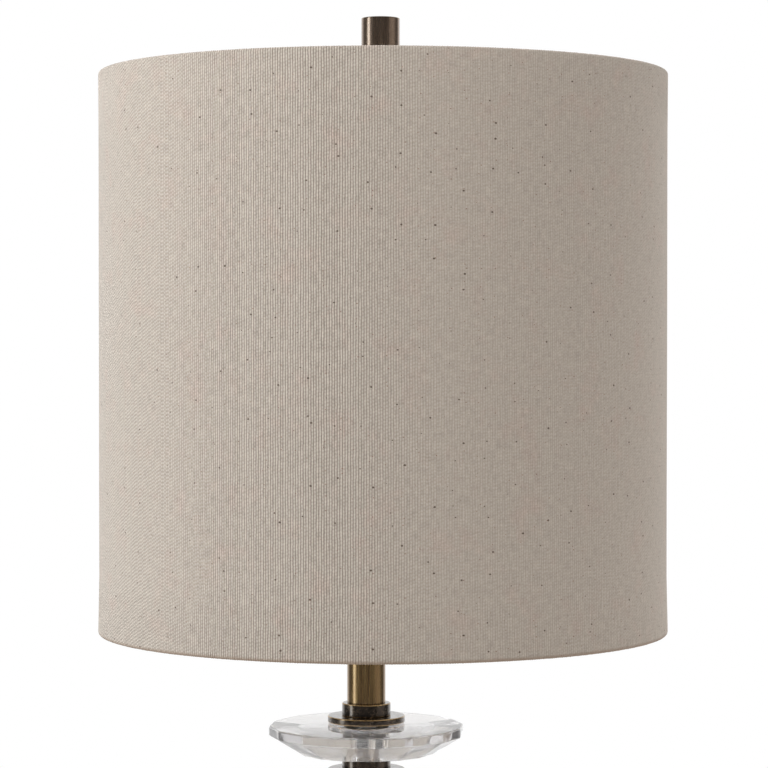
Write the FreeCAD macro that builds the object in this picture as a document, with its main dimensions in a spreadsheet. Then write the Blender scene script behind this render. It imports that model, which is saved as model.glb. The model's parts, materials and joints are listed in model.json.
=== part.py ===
"""Candlestick table lamp: a brass stem with two cut-glass discs, and a linen drum shade.

Millimetres, +Z up. The origin is the middle of the foot's underside, on the axis of the stem.
The harp leans to +X, so the shade and the finial stand a few millimetres beside the stem.
"""
import FreeCAD, Part
import math
import os

import Sketcher

Vector = FreeCAD.Vector
Rotation = FreeCAD.Rotation

# The driving dimensions. Radii are of outer surfaces unless the name says bore.
SIZES = [
    # Clearances and thin stock
    ("rod_play", 0.3),              # between the threaded rod and whatever it passes through
    ("seat_gap", 0.3),              # between pieces that rest on each other but can move
    ("slip_play", 0.1),             # between a tube and what is pushed into or over it
    ("running_play", 0.06),         # around a threaded stud or a turning shaft
    ("edge_bevel", 0.35),           # broken edge of turned brass
    # Foot
    ("felt_thickness", 1.5),
    ("felt_inset", 0.5),            # from the edge of the weight
    ("plinth_radius", 76.0),
    ("plinth_height", 16.0),
    ("plinth_round", 3.0),
    ("cover_wall", 1.2),
    ("weight_play", 0.3),
    ("recess_radius", 14.0),        # pocket under the weight for the nut and washer
    ("recess_depth", 8.0),
    ("cord_slot_width", 11.6),
    ("cord_slot_height", 11.6),
    ("step_radius", 48.0),
    ("step_height", 8.0),
    ("step_round", 2.0),
    # Cord inlet in the back of the foot
    ("bushing_height", 6.1),        # of its axis above the felt
    ("bushing_bore_radius", 3.7),
    ("bushing_wall", 0.9),
    ("bushing_flange_radius", 6.0),
    ("bushing_flange_thickness", 1.5),
    ("bushing_lip_radius", 5.2),
    ("bushing_lip_length", 1.2),
    # Hollow threaded rod and its nuts
    ("rod_radius", 4.9),
    ("rod_bore_radius", 2.75),
    ("rod_foot_gap", 1.0),          # from the felt up to the end of the rod
    ("nut_corner_radius", 8.1),
    ("nut_thickness", 4.0),
    ("washer_radius", 10.0),
    ("washer_thickness", 1.2),
    # Turned stem
    ("flange_radius", 19.2),
    ("flange_thickness", 3.2),
    ("collar_radius", 12.1),
    ("collar_height", 6.3),
    ("column_length", 343.4),
    ("column_top_radius", 13.0),
    ("column_bottom_radius", 17.0),
    ("column_wall", 1.0),
    ("plug_thickness", 5.0),
    ("neck_radius", 9.525),
    ("neck_wall", 1.2),
    ("neck_length", 68.6),
    ("neck_cap_thickness", 1.5),
    ("neck_cap_hub", 4.0),
    # Cut-glass discs
    ("gasket_thickness", 0.4),
    ("gasket_radius", 11.0),
    ("crystal_corner_radius", 48.4),
    ("crystal_girdle_radius", 34.0),    # where the steep bevel meets the shallow one
    ("crystal_seat_radius", 13.5),
    ("crystal_thickness", 16.2),
    ("crystal_crown", 1.3),             # rise of the domed top
    ("crystal_band_height", 4.5),       # upright facets at the rim
    ("crystal_bevel_height", 8.8),
    ("crystal_bore_radius", 6.2),
    ("crystal_turn", 5.65),             # degrees, of a corner from +X
    # Harp and its saddle
    ("harp_lean", 7.1),
    ("harp_height", 228.5),             # saddle to shade seat
    ("harp_wire_radius", 1.6),
    ("harp_leg_reach", 30.0),
    ("harp_leg_straight", 52.0),
    ("harp_shoulder_rise", 89.0),
    ("harp_low_reach", 52.0),
    ("harp_high_rise", 194.0),
    ("harp_high_reach", 50.0),
    ("harp_top_reach", 24.0),
    ("harp_low_bend", 45.0),
    ("harp_shoulder_bend", 90.0),
    ("harp_high_bend", 26.0),
    ("harp_top_bend", 22.0),
    ("harp_top_drop", 4.5),             # shade seat down to the wire's middle
    ("saddle_thickness", 1.5),
    ("saddle_width", 14.0),
    ("ear_width", 9.0),
    ("ear_height", 8.0),
    ("ear_tip_width", 3.6),
    ("ear_tip_height", 11.0),
    ("ferrule_length", 14.0),
    ("ferrule_wall", 0.9),
    ("seat_radius", 9.0),
    ("seat_thickness", 1.5),
    ("seat_bush_radius", 4.5),
    ("seat_bush_height", 6.5),
    ("stud_radius", 3.175),
    ("stud_length", 12.5),
    # Socket and switch
    ("socket_radius", 16.4),
    ("socket_wall", 0.5),
    ("socket_shell_rise", 20.0),        # foot of the shell above the foot of the cap
    ("socket_shell_length", 40.0),
    ("cap_neck_radius", 7.0),
    ("cap_shoulder", 6.0),
    ("cap_round", 8.0),
    ("cap_wall", 0.7),
    ("cap_height", 25.0),
    ("liner_wall", 0.8),
    ("liner_rise", 25.0),
    ("liner_length", 34.0),
    ("core_rise", 15.0),
    ("core_foot_radius", 12.2),
    ("core_foot_height", 11.0),
    ("core_radius", 14.6),
    ("core_height", 21.0),
    ("core_rod_gap", 1.0),              # from the rod's end up to the core
    ("contact_width", 5.0),
    ("contact_length", 9.0),
    ("contact_height", 2.0),
    ("screw_shell_bore_radius", 13.3),
    ("screw_shell_wall", 0.4),
    ("screw_shell_height", 21.0),
    ("terminal_head_radius", 2.6),
    ("terminal_head_height", 1.4),
    ("terminal_shank_radius", 1.6),
    ("terminal_shank_length", 5.0),
    ("terminal_rise", 4.5),             # above the core's foot
    ("shaft_radius", 1.6),
    ("shaft_depth", 5.0),               # inner end of the shaft from the socket's axis
    ("shaft_rise", 16.0),               # above the core's foot
    ("knob_radius", 5.6),
    ("knob_length", 14.0),
    ("knob_standoff", 5.0),
    ("knob_end_wall", 2.0),
    ("knob_groove_radius", 0.9),
    ("knob_bevel", 0.8),
    # Bulb
    ("bulb_ball_radius", 30.0),
    ("bulb_neck_radius", 14.0),
    ("bulb_neck_height", 2.0),
    ("bulb_glass_height", 85.0),
    ("bulb_glass_wall", 0.8),
    ("bulb_cap_radius", 13.0),
    ("bulb_cap_wall", 0.4),
    ("bulb_cap_height", 19.0),
    ("bulb_insulator_height", 5.0),
    ("bulb_insulator_foot", 6.0),
    ("bulb_contact_radius", 4.8),
    ("bulb_contact_height", 1.6),
    # Shade
    ("shade_radius", 140.0),
    ("shade_height", 275.5),
    ("shade_offset", 1.2),              # of the shade from the stud, within the washer's play
    ("shade_recess", 12.4),             # fitter washer below the top rim
    ("fabric_thickness", 0.8),
    ("shade_liner_thickness", 0.5),
    ("shade_layer_gap", 0.05),
    ("shade_wire_radius", 1.6),
    ("rim_round", 2.0),                 # of the linen where it rolls over a rim
    ("rim_fold", 5.0),                  # depth of the linen turned in behind the rim
    ("fitter_bore_radius", 5.55),
    ("fitter_radius", 12.0),
    ("fitter_thickness", 1.6),
    ("spider_bend", 6.0),
    # Finial
    ("finial_radius", 9.5),
    ("finial_height", 38.5),
    ("insert_radius", 4.6),
    ("insert_length", 11.0),
]

# Heights above the table, and sizes that follow from the ones above.
LEVELS = [
    ("weight_radius", "Size.plinth_radius - Size.cover_wall - Size.weight_play"),
    ("weight_height", "Size.plinth_height - Size.cover_wall"),
    ("plinth_top", "Size.felt_thickness + Size.plinth_height"),
    ("foot_top", "plinth_top + Size.step_height"),
    ("hole_radius", "Size.rod_radius + Size.rod_play"),
    ("washer_foot", "Size.felt_thickness + Size.recess_depth - Size.washer_thickness"),
    ("foot_nut", "washer_foot - Size.nut_thickness"),
    ("rod_foot", "Size.felt_thickness + Size.rod_foot_gap"),
    ("knuckle_height", "Size.flange_thickness + Size.collar_height"),
    ("disc_pitch", "Size.crystal_thickness + 2 * Size.gasket_thickness"),
    ("foot_knuckle", "foot_top"),
    ("lower_disc", "foot_knuckle + knuckle_height + Size.gasket_thickness"),
    ("column_foot_knuckle", "foot_knuckle + knuckle_height + disc_pitch"),
    ("column_foot", "column_foot_knuckle + knuckle_height"),
    ("column_top_knuckle", "column_foot + Size.column_length"),
    ("upper_disc", "column_top_knuckle + knuckle_height + Size.gasket_thickness"),
    ("neck_knuckle", "column_top_knuckle + knuckle_height + disc_pitch"),
    ("neck_foot", "neck_knuckle + knuckle_height"),
    ("neck_top", "neck_foot + Size.neck_length"),
    ("saddle", "neck_top + Size.neck_cap_thickness"),
    ("saddle_nut", "saddle + Size.saddle_thickness"),
    ("socket", "saddle_nut + Size.nut_thickness"),
    ("core", "socket + Size.core_rise"),
    ("core_top", "core + Size.core_height"),
    ("rod_top", "core - Size.core_rod_gap"),
    ("shaft_height", "core + Size.shaft_rise"),
    ("bulb", "core_top + Size.contact_height + Size.seat_gap"),
    ("seat", "saddle + Size.harp_height"),
    ("harp_top", "seat - Size.harp_top_drop"),
    ("fitter", "seat + Size.seat_gap"),
    ("shade_top", "fitter + Size.shade_recess"),
    ("shade_foot", "shade_top - Size.shade_height"),
    ("finial_foot", "fitter + Size.fitter_thickness + Size.seat_gap"),
    ("shade_axis", "Size.harp_lean + Size.shade_offset"),
]

HEX_SIDES = 6
FULL_TURN = 360
CRYSTAL_FACETS = 16
KNOB_GROOVES = 10
SPIDER_ANGLES = (90, 210, 330)

doc = FreeCAD.newDocument("CandlestickLamp")
size_sheet = doc.addObject("Spreadsheet::Sheet", "Size")
level_sheet = doc.addObject("Spreadsheet::Sheet", "Level")
pieces = []


def fill_sheet(sheet, rows):
    """Write one named cell for each row."""
    for row, (name, content) in enumerate(rows, start=1):
        sheet.set(f"A{row}", name)
        sheet.set(f"B{row}", content)
        sheet.setAlias(f"B{row}", name)


fill_sheet(size_sheet, [(name, str(value)) for name, value in SIZES])
doc.recompute()
fill_sheet(level_sheet, [(name, "=" + formula) for name, formula in LEVELS])
doc.recompute()


def number(expression):
    """The present value of an expression over the two sheets."""
    return float(size_sheet.evalExpression(expression))


def bind(thing, bindings):
    """Bind properties of an object to expressions over the sheets."""
    for path, expression in bindings.items():
        thing.setExpression(path, expression)


def place(thing, x="0", y="0", z="0", turn=None):
    """Turn an object, and bind its place."""
    if turn is not None:
        thing.Placement = FreeCAD.Placement(Vector(), turn)
    bind(thing, {"Placement.Base.x": x, "Placement.Base.y": y, "Placement.Base.z": z})
    return thing


def keep(label, thing):
    """Name a finished sub-part, and list it for export."""
    thing.Label = label
    pieces.append(thing)
    return thing


# Basic shapes

def arc_between(start, end, radius):
    """An arc that bends left from start to end for a positive radius, and right for a negative."""
    chord = end - start
    middle = (start + end) * 0.5
    height = math.sqrt(max(radius * radius - chord.Length ** 2 / 4, 0.0))
    left = Vector(-chord.y, chord.x, 0).normalize()
    centre = middle + left * math.copysign(height, radius)
    first, last = (start, end) if radius > 0 else (end, start)
    angles = [math.atan2(point.y - centre.y, point.x - centre.x) for point in (first, last)]
    circle = Part.Circle(centre, Vector(0, 0, 1), abs(radius))
    return Part.ArcOfCircle(circle, angles[0], angles[1])


def draw_outline(sketch, corners):
    """Draw a closed outline of lines and arcs.

    Each corner is (across, up) or (across, up, radius of the arc to the next corner).
    """
    points = [Vector(number(corner[0]), number(corner[1]), 0) for corner in corners]
    ends = []
    for index, corner in enumerate(corners):
        start = points[index]
        end = points[(index + 1) % len(points)]
        if len(corner) == 2:
            edge = sketch.addGeometry(Part.LineSegment(start, end), False)
            ends.append((edge, 1, 2))
            continue
        radius = number(corner[2])
        edge = sketch.addGeometry(arc_between(start, end, radius), False)
        ends.append((edge, 1, 2) if radius > 0 else (edge, 2, 1))
    for index, (edge, first, last) in enumerate(ends):
        next_edge, next_first, next_last = ends[(index + 1) % len(ends)]
        sketch.addConstraint(Sketcher.Constraint("Coincident", edge, last, next_edge, next_first))
        fix_point(sketch, edge, first, corners[index], points[index])
        if len(corners[index]) == 3:
            radius = abs(number(corners[index][2]))
            rule = sketch.addConstraint(Sketcher.Constraint("Radius", edge, radius))
            sketch.setExpression(f"Constraints[{rule}]", f"abs({corners[index][2]})")


def fix_point(sketch, edge, end, corner, point):
    """Hold the end of an edge at its bound distances from the sketch's axes."""
    for axis, kind, expression, value in (
        (-2, "DistanceX", corner[0], point.x),
        (-1, "DistanceY", corner[1], point.y),
    ):
        if expression == "0":
            sketch.addConstraint(Sketcher.Constraint("PointOnObject", edge, end, axis))
            continue
        rule = sketch.addConstraint(Sketcher.Constraint(kind, -1, 1, edge, end, value))
        sketch.setExpression(f"Constraints[{rule}]", expression)


def turned(name, corners, x="0", y="0", z="0", turn=None):
    """A body turned from an outline of radii and heights."""
    body = doc.addObject("PartDesign::Body", name)
    plane = next(item for item in body.Origin.OriginFeatures if item.Role == "XZ_Plane")
    sketch = body.newObject("Sketcher::SketchObject", name + "_outline")
    sketch.AttachmentSupport = [(plane, "")]
    sketch.MapMode = "FlatFace"
    draw_outline(sketch, corners)
    solid = body.newObject("PartDesign::Revolution", name + "_turning")
    solid.Profile = sketch
    solid.ReferenceAxis = (sketch, ["V_Axis"])
    solid.Angle = FULL_TURN
    return place(body, x, y, z, turn)


def cylinder(name, radius, height, x="0", y="0", z="0", turn=None):
    """A plain cylinder from its foot upwards."""
    rod = doc.addObject("Part::Cylinder", name)
    bind(rod, {"Radius": radius, "Height": height})
    return place(rod, x, y, z, turn)


def block(name, length, width, height, x, y, z):
    """A plain box from its lowest corner."""
    box = doc.addObject("Part::Box", name)
    bind(box, {"Length": length, "Width": width, "Height": height})
    return place(box, x, y, z)


def joined(name, members):
    """Several shapes made one solid."""
    fuse = doc.addObject("Part::MultiFuse", name)
    fuse.Shapes = members
    return fuse


def cut_away(name, base, tools):
    """A shape less its tools."""
    cut = doc.addObject("Part::Cut", name)
    cut.Base = base
    cut.Tool = tools[0] if len(tools) == 1 else joined(name + "_tools", tools)
    return cut


def disc(bore, radius, height, bevel):
    """Outline of a ring with both outer edges broken."""
    return [
        (bore, "0"),
        (f"{radius} - {bevel}", "0"),
        (radius, bevel),
        (radius, f"{height} - {bevel}"),
        (f"{radius} - {bevel}", height),
        (bore, height),
    ]


def sleeve(bore, radius, height):
    """Outline of a plain tube or washer."""
    return [(bore, "0"), (radius, "0"), (radius, height), (bore, height)]


def hex_nut(name, z):
    """A hexagonal nut on the threaded rod."""
    blank = doc.addObject("Part::Prism", name + "_blank")
    blank.Polygon = HEX_SIDES
    bind(blank, {"Circumradius": "Size.nut_corner_radius", "Height": "Size.nut_thickness"})
    place(blank, z=z)
    bore = "Size.rod_radius + Size.slip_play"
    hole = cylinder(name + "_hole", bore, "Size.nut_thickness", z=z)
    return cut_away(name, blank, [hole])


def rounded_path(corners, bends):
    """Straight runs through the corners, joined by tangent arcs of the given radii."""
    edges = []
    start = corners[0]
    for before, corner, after, radius in zip(corners, corners[1:], corners[2:], bends):
        back = (before - corner).normalize()
        ahead = (after - corner).normalize()
        half_angle = back.getAngle(ahead) / 2
        reach = radius / math.tan(half_angle)
        inward = (back + ahead).normalize()
        middle = corner + inward * (radius / math.sin(half_angle) - radius)
        arc_start = corner + back * reach
        arc_end = corner + ahead * reach
        edges.append(Part.LineSegment(start, arc_start).toShape())
        edges.append(Part.Arc(arc_start, middle, arc_end).toShape())
        start = arc_end
    edges.append(Part.LineSegment(start, corners[-1]).toShape())
    return Part.Wire(edges)


def bent_wire(name, corners, bends, radius):
    """Round wire bent along a path; its sizes are read from the sheets."""
    path = rounded_path(corners, bends)
    section = Part.makeCircle(radius, corners[0], corners[1] - corners[0])
    wire = doc.addObject("Part::Feature", name)
    wire.Shape = path.makePipeShell([Part.Wire(section)], True, False)
    return wire


# Foot

def make_foot():
    """Felt, iron weight, spun cover and the turned step on top of it."""
    felt_radius = "Level.weight_radius - Size.felt_inset"
    felt = cylinder("felt", felt_radius, "Size.felt_thickness")
    keep("base_felt_pad", felt)

    above_felt = "Size.felt_thickness"
    slab = cylinder("weight_slab", "Level.weight_radius", "Level.weight_height", z=above_felt)
    hole = cylinder("weight_hole", "Level.hole_radius", "Level.weight_height", z=above_felt)
    recess = cylinder("weight_recess", "Size.recess_radius", "Size.recess_depth", z=above_felt)
    slot = block("weight_slot", "Size.cord_slot_width", "Level.weight_radius",
                 "Size.cord_slot_height", "-Size.cord_slot_width / 2", "0", above_felt)
    keep("base_weight", cut_away("weight", slab, [hole, recess, slot]))

    outside = "Size.plinth_radius"
    inside = "Size.plinth_radius - Size.cover_wall"
    top = "Size.plinth_height"
    under = "Size.plinth_height - Size.cover_wall"
    bend = "Size.plinth_round"
    cover = turned("cover_spinning", [
        (inside, "0"),
        (outside, "0"),
        (outside, f"{top} - {bend}", bend),
        (f"{outside} - {bend}", top),
        ("Level.hole_radius", top),
        ("Level.hole_radius", under),
        (inside, under),
    ], z=above_felt)
    inlet = cylinder(
        "cover_inlet", "Size.bushing_bore_radius + Size.bushing_wall + Size.slip_play",
        "Size.plinth_radius", z="Size.felt_thickness + Size.bushing_height",
        turn=Rotation(Vector(1, 0, 0), -90))
    keep("base_cover", cut_away("cover", cover, [inlet]))

    round_start = "Size.step_height - Size.step_round"
    step = turned("step", [
        ("Level.hole_radius", "0"),
        ("Size.step_radius", "0"),
        ("Size.step_radius", round_start, "Size.step_round"),
        ("Size.step_radius - Size.step_round", "Size.step_height"),
        ("Level.hole_radius", "Size.step_height"),
    ], z="Level.plinth_top")
    keep("base_step", step)


def make_cord_bushing():
    """Moulded bushing that snaps into the cover; its axis points out of the back."""
    bore = "Size.bushing_bore_radius"
    barrel = "Size.bushing_bore_radius + Size.bushing_wall"
    lip_end = "Size.bushing_lip_length"
    inside = "(Size.plinth_radius - Size.cover_wall)"
    lip_seat = f"(sqrt({inside} ^ 2 - Size.bushing_lip_radius ^ 2) - Size.slip_play)"
    wall_end = f"({lip_end} + Size.plinth_radius - {lip_seat} + Size.slip_play)"
    length = f"({wall_end} + Size.bushing_flange_thickness)"
    bushing = turned("bushing", [
        (bore, "0"),
        (barrel, "0"),
        ("Size.bushing_lip_radius", lip_end),
        (barrel, lip_end),
        (barrel, wall_end),
        ("Size.bushing_flange_radius", wall_end),
        ("Size.bushing_flange_radius", length),
        (bore, length),
    ], y=f"{lip_seat} - {lip_end}", z="Size.felt_thickness + Size.bushing_height",
        turn=Rotation(Vector(1, 0, 0), -90))
    keep("cord_bushing", bushing)


def make_rod():
    """Hollow threaded rod that ties the lamp together, with its washer and nuts."""
    length = "Level.rod_top - Level.rod_foot"
    rod = turned("rod", sleeve("Size.rod_bore_radius", "Size.rod_radius", length),
                 z="Level.rod_foot")
    keep("threaded_rod", rod)
    washer = turned("rod_washer", sleeve("Level.hole_radius", "Size.washer_radius",
                                         "Size.washer_thickness"), z="Level.washer_foot")
    keep("foot_washer", washer)
    keep("foot_locknut", hex_nut("nut_in_foot", "Level.foot_nut"))
    keep("saddle_locknut", hex_nut("nut_on_saddle", "Level.saddle_nut"))


# Stem

def make_knuckle(place_name, level):
    """A turned flange with a narrower collar on it."""
    flange = turned(place_name + "_flange_blank", disc(
        "Level.hole_radius", "Size.flange_radius", "Size.flange_thickness", "Size.edge_bevel",
    ), z=level)
    keep(place_name + "_flange", flange)
    collar = turned(place_name + "_collar_blank", disc(
        "Level.hole_radius", "Size.collar_radius", "Size.collar_height", "Size.edge_bevel",
    ), z=f"{level} + Size.flange_thickness")
    keep(place_name + "_collar", collar)


def crystal_ring(name, radius, level):
    """One regular polygon of the disc's corners."""
    ring = doc.addObject("Part::RegularPolygon", name)
    ring.Polygon = CRYSTAL_FACETS
    bind(ring, {"Circumradius": radius})
    return place(ring, z=level)


def make_crystal(place_name, level):
    """A disc of cut glass: flat facets at the rim and below, and a slightly domed top."""
    band_top = "Size.crystal_thickness"
    band_foot = "Size.crystal_thickness - Size.crystal_crown - Size.crystal_band_height"
    girdle = f"{band_foot} - Size.crystal_bevel_height"
    rings = [
        crystal_ring(place_name + "_seat_ring", "Size.crystal_seat_radius", "0"),
        crystal_ring(place_name + "_girdle_ring", "Size.crystal_girdle_radius", girdle),
        crystal_ring(place_name + "_band_foot", "Size.crystal_corner_radius", band_foot),
        crystal_ring(place_name + "_band_top", "Size.crystal_corner_radius", band_top),
    ]
    facets = doc.addObject("Part::Loft", place_name + "_facets")
    facets.Sections = rings
    facets.Solid = True
    facets.Ruled = True

    dome = doc.addObject("Part::Sphere", place_name + "_dome")
    dome_radius = "(Size.crystal_corner_radius ^ 2 + Size.crystal_crown ^ 2)" \
                  " / (2 * Size.crystal_crown)"
    bind(dome, {"Radius": dome_radius})
    place(dome, z=f"Size.crystal_thickness - {dome_radius}")
    domed = doc.addObject("Part::Common", place_name + "_domed")
    domed.Base = facets
    domed.Tool = dome

    bore = cylinder(place_name + "_bore", "Size.crystal_bore_radius", "Size.crystal_thickness")
    disc_shape = cut_away(place_name + "_crystal", domed, [bore])
    place(disc_shape, z=level)
    disc_shape.setExpression("Placement.Rotation.Angle", "Size.crystal_turn")
    keep(place_name + "_crystal_disc", disc_shape)


def make_gaskets():
    """Thin washers above and below each glass disc."""
    rings = []
    for index, level in enumerate((
        "Level.lower_disc - Size.gasket_thickness",
        "Level.lower_disc + Size.crystal_thickness",
        "Level.upper_disc - Size.gasket_thickness",
        "Level.upper_disc + Size.crystal_thickness",
    ), start=1):
        outline = sleeve("Level.hole_radius", "Size.gasket_radius", "Size.gasket_thickness")
        rings.append(turned(f"gasket_{index}", outline, z=level))
    group = doc.addObject("Part::Compound", "gaskets")
    group.Links = rings
    keep("crystal_gaskets", group)


def make_column():
    """Tapered brass column and the plugs that centre it on the rod."""
    foot, top = "Size.column_bottom_radius", "Size.column_top_radius"
    wall, length = "Size.column_wall", "Size.column_length"
    tube = turned("column", [
        (f"{foot} - {wall}", "0"), (foot, "0"), (top, length), (f"{top} - {wall}", length),
    ], z="Level.column_foot")
    keep("column_tube", tube)

    taper = f"(({foot} - {top}) * Size.plug_thickness / {length})"
    plug_play = f"({wall} + Size.slip_play)"
    for name, radius, level in (
        ("bottom", f"{foot} - {taper} - {plug_play}", "Level.column_foot"),
        ("top", f"{top} - {plug_play}", "Level.column_top_knuckle - Size.plug_thickness"),
    ):
        plug = turned(f"plug_{name}", sleeve("Level.hole_radius", radius,
                                             "Size.plug_thickness"), z=level)
        keep(f"column_plug_{name}", plug)


def make_neck():
    """Straight neck tube and the cap that closes its upper end."""
    bore = "Size.neck_radius - Size.neck_wall"
    keep("neck_tube", turned("neck", sleeve(bore, "Size.neck_radius", "Size.neck_length"),
                             z="Level.neck_foot"))
    hub = "Size.neck_cap_hub"
    top = f"{hub} + Size.neck_cap_thickness"
    cap = turned("neck_lid", [
        ("Level.hole_radius", "0"),
        (f"{bore} - Size.slip_play", "0"),
        (f"{bore} - Size.slip_play", hub),
        ("Size.neck_radius", hub),
        ("Size.neck_radius", f"{top} - Size.edge_bevel"),
        ("Size.neck_radius - Size.edge_bevel", top),
        ("Level.hole_radius", top),
    ], z=f"Level.neck_top - {hub}")
    keep("neck_cap", cap)


# Harp

def make_saddle():
    """Steel strap with an upright ear at each end, which holds the harp's feet."""
    thick = "Size.saddle_thickness"
    ear_outside = "(Size.harp_leg_reach - Size.harp_wire_radius - Size.slip_play)"
    strap = block("saddle_strap", f"2 * {ear_outside}", "Size.saddle_width", thick,
                  f"-{ear_outside}", "-Size.saddle_width / 2", "Level.saddle")
    members = [strap]
    for side, x in (("left", f"-{ear_outside}"), ("right", f"{ear_outside} - {thick}")):
        ear = block(f"saddle_ear_{side}", thick, "Size.ear_width", "Size.ear_height",
                    x, "-Size.ear_width / 2", "Level.saddle")
        tip = block(f"saddle_tip_{side}", thick, "Size.ear_tip_width",
                    "Size.ear_height + Size.ear_tip_height",
                    x, "-Size.ear_tip_width / 2", "Level.saddle")
        members += [ear, tip]
    hole = cylinder("saddle_hole", "Level.hole_radius", thick, z="Level.saddle")
    keep("harp_saddle", cut_away("saddle_drilled", joined("saddle_blank", members), [hole]))


def make_harp():
    """One bent wire: straight legs, a wide loop round the bulb, and a level top."""
    saddle = number("Level.saddle")
    straight = saddle + number("Size.harp_leg_straight")
    top = number("Level.harp_top")
    stations = [
        (number("Size.harp_leg_reach"),
         saddle + number("Size.saddle_thickness + Size.seat_gap")),
        (number("Size.harp_leg_reach"), straight),
        (number("Size.harp_low_reach"), saddle + number("Size.harp_shoulder_rise")),
        (number("Size.harp_high_reach"), saddle + number("Size.harp_high_rise")),
        (number("Size.harp_top_reach"), top),
    ]

    def corner(side, reach, height):
        lean = number("Size.harp_lean") * max(0.0, (height - straight) / (top - straight))
        return Vector(side * reach + lean, 0, height)

    left = [corner(-1, *station) for station in stations]
    right = [corner(1, *station) for station in reversed(stations)]
    rising_bends = [number(f"Size.harp_{name}_bend") for name in ("low", "shoulder", "high", "top")]
    bends = rising_bends + rising_bends[::-1]
    wire = bent_wire("harp", left + right, bends, number("Size.harp_wire_radius"))
    keep("harp_loop", wire)


def make_harp_stud():
    """Bush clamped on the harp's top, with the shade's seat and the threaded stud."""
    stud_foot = "(Size.seat_bush_height + Size.seat_thickness)"
    blank = turned("stud_blank", [
        ("0", "0"),
        ("Size.seat_bush_radius", "0"),
        ("Size.seat_bush_radius", "Size.seat_bush_height"),
        ("Size.seat_radius", "Size.seat_bush_height"),
        ("Size.seat_radius", stud_foot),
        ("Size.stud_radius", stud_foot),
        ("Size.stud_radius", f"{stud_foot} + Size.stud_length"),
        ("0", f"{stud_foot} + Size.stud_length"),
    ], x="Size.harp_lean", z=f"Level.seat - {stud_foot}")
    cross_hole = cylinder(
        "stud_cross_hole", "Size.harp_wire_radius + Size.running_play", "2 * Size.seat_radius",
        x="Size.harp_lean - Size.seat_radius", z="Level.harp_top",
        turn=Rotation(Vector(0, 1, 0), 90))
    keep("harp_stud", cut_away("stud", blank, [cross_hole]))


def make_ferrules():
    """Sleeves that slide down over the saddle's ears and the harp's feet."""
    span = "(Size.saddle_thickness + Size.slip_play + 2 * Size.harp_wire_radius) / 2"
    bore = f"sqrt(({span}) ^ 2 + (Size.ear_tip_width / 2) ^ 2) + Size.slip_play"
    reach = f"(Size.harp_leg_reach + Size.harp_wire_radius - {span})"
    foot = "Level.saddle + Size.ear_height + Size.seat_gap"
    for side, x in (("left", f"-{reach}"), ("right", reach)):
        ferrule = turned(f"ferrule_{side}", sleeve(bore, f"{bore} + Size.ferrule_wall",
                                                   "Size.ferrule_length"), x=x, z=foot)
        keep(f"harp_ferrule_{side}", ferrule)


# Socket

def make_socket_shells():
    """Brass cap and shell, and the fibre liner inside them."""
    bore = "Size.rod_radius + Size.slip_play"
    skirt = "Size.socket_radius + Size.slip_play + Size.cap_wall"
    skirt_inside = "Size.socket_radius + Size.slip_play"
    shoulder, bend, wall = "Size.cap_shoulder", "Size.cap_round", "Size.cap_wall"
    cap = turned("socket_bell", [
        (bore, "0"),
        ("Size.cap_neck_radius", "0"),
        ("Size.cap_neck_radius", shoulder),
        (f"{skirt} - {bend}", shoulder, bend),
        (skirt, f"{shoulder} + {bend}"),
        (skirt, "Size.cap_height"),
        (skirt_inside, "Size.cap_height"),
        (skirt_inside, f"{shoulder} + {bend}", f"-({bend} - {wall})"),
        (f"{skirt} - {bend}", f"{shoulder} + {wall}"),
        (bore, f"{shoulder} + {wall}"),
    ], z="Level.socket")
    keep("socket_cap", cap)

    def shaft_hole(name):
        return cylinder(
            name, "Size.shaft_radius + 2 * Size.seat_gap", "2 * Size.socket_radius",
            z="Level.shaft_height", turn=Rotation(Vector(1, 0, 0), 90))

    shell_bore = "(Size.socket_radius - Size.socket_wall)"
    shell = turned("socket_tube", sleeve(shell_bore, "Size.socket_radius",
                                         "Size.socket_shell_length"),
                   z="Level.socket + Size.socket_shell_rise")
    keep("socket_shell", cut_away("socket_tube_drilled", shell, [shaft_hole("shell_hole")]))

    liner_radius = f"({shell_bore} - Size.slip_play)"
    liner = turned("socket_fibre", sleeve(f"{liner_radius} - Size.liner_wall", liner_radius,
                                          "Size.liner_length"),
                   z="Level.socket + Size.liner_rise")
    keep("socket_liner", cut_away("socket_fibre_drilled", liner, [shaft_hole("liner_hole")]))


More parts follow.
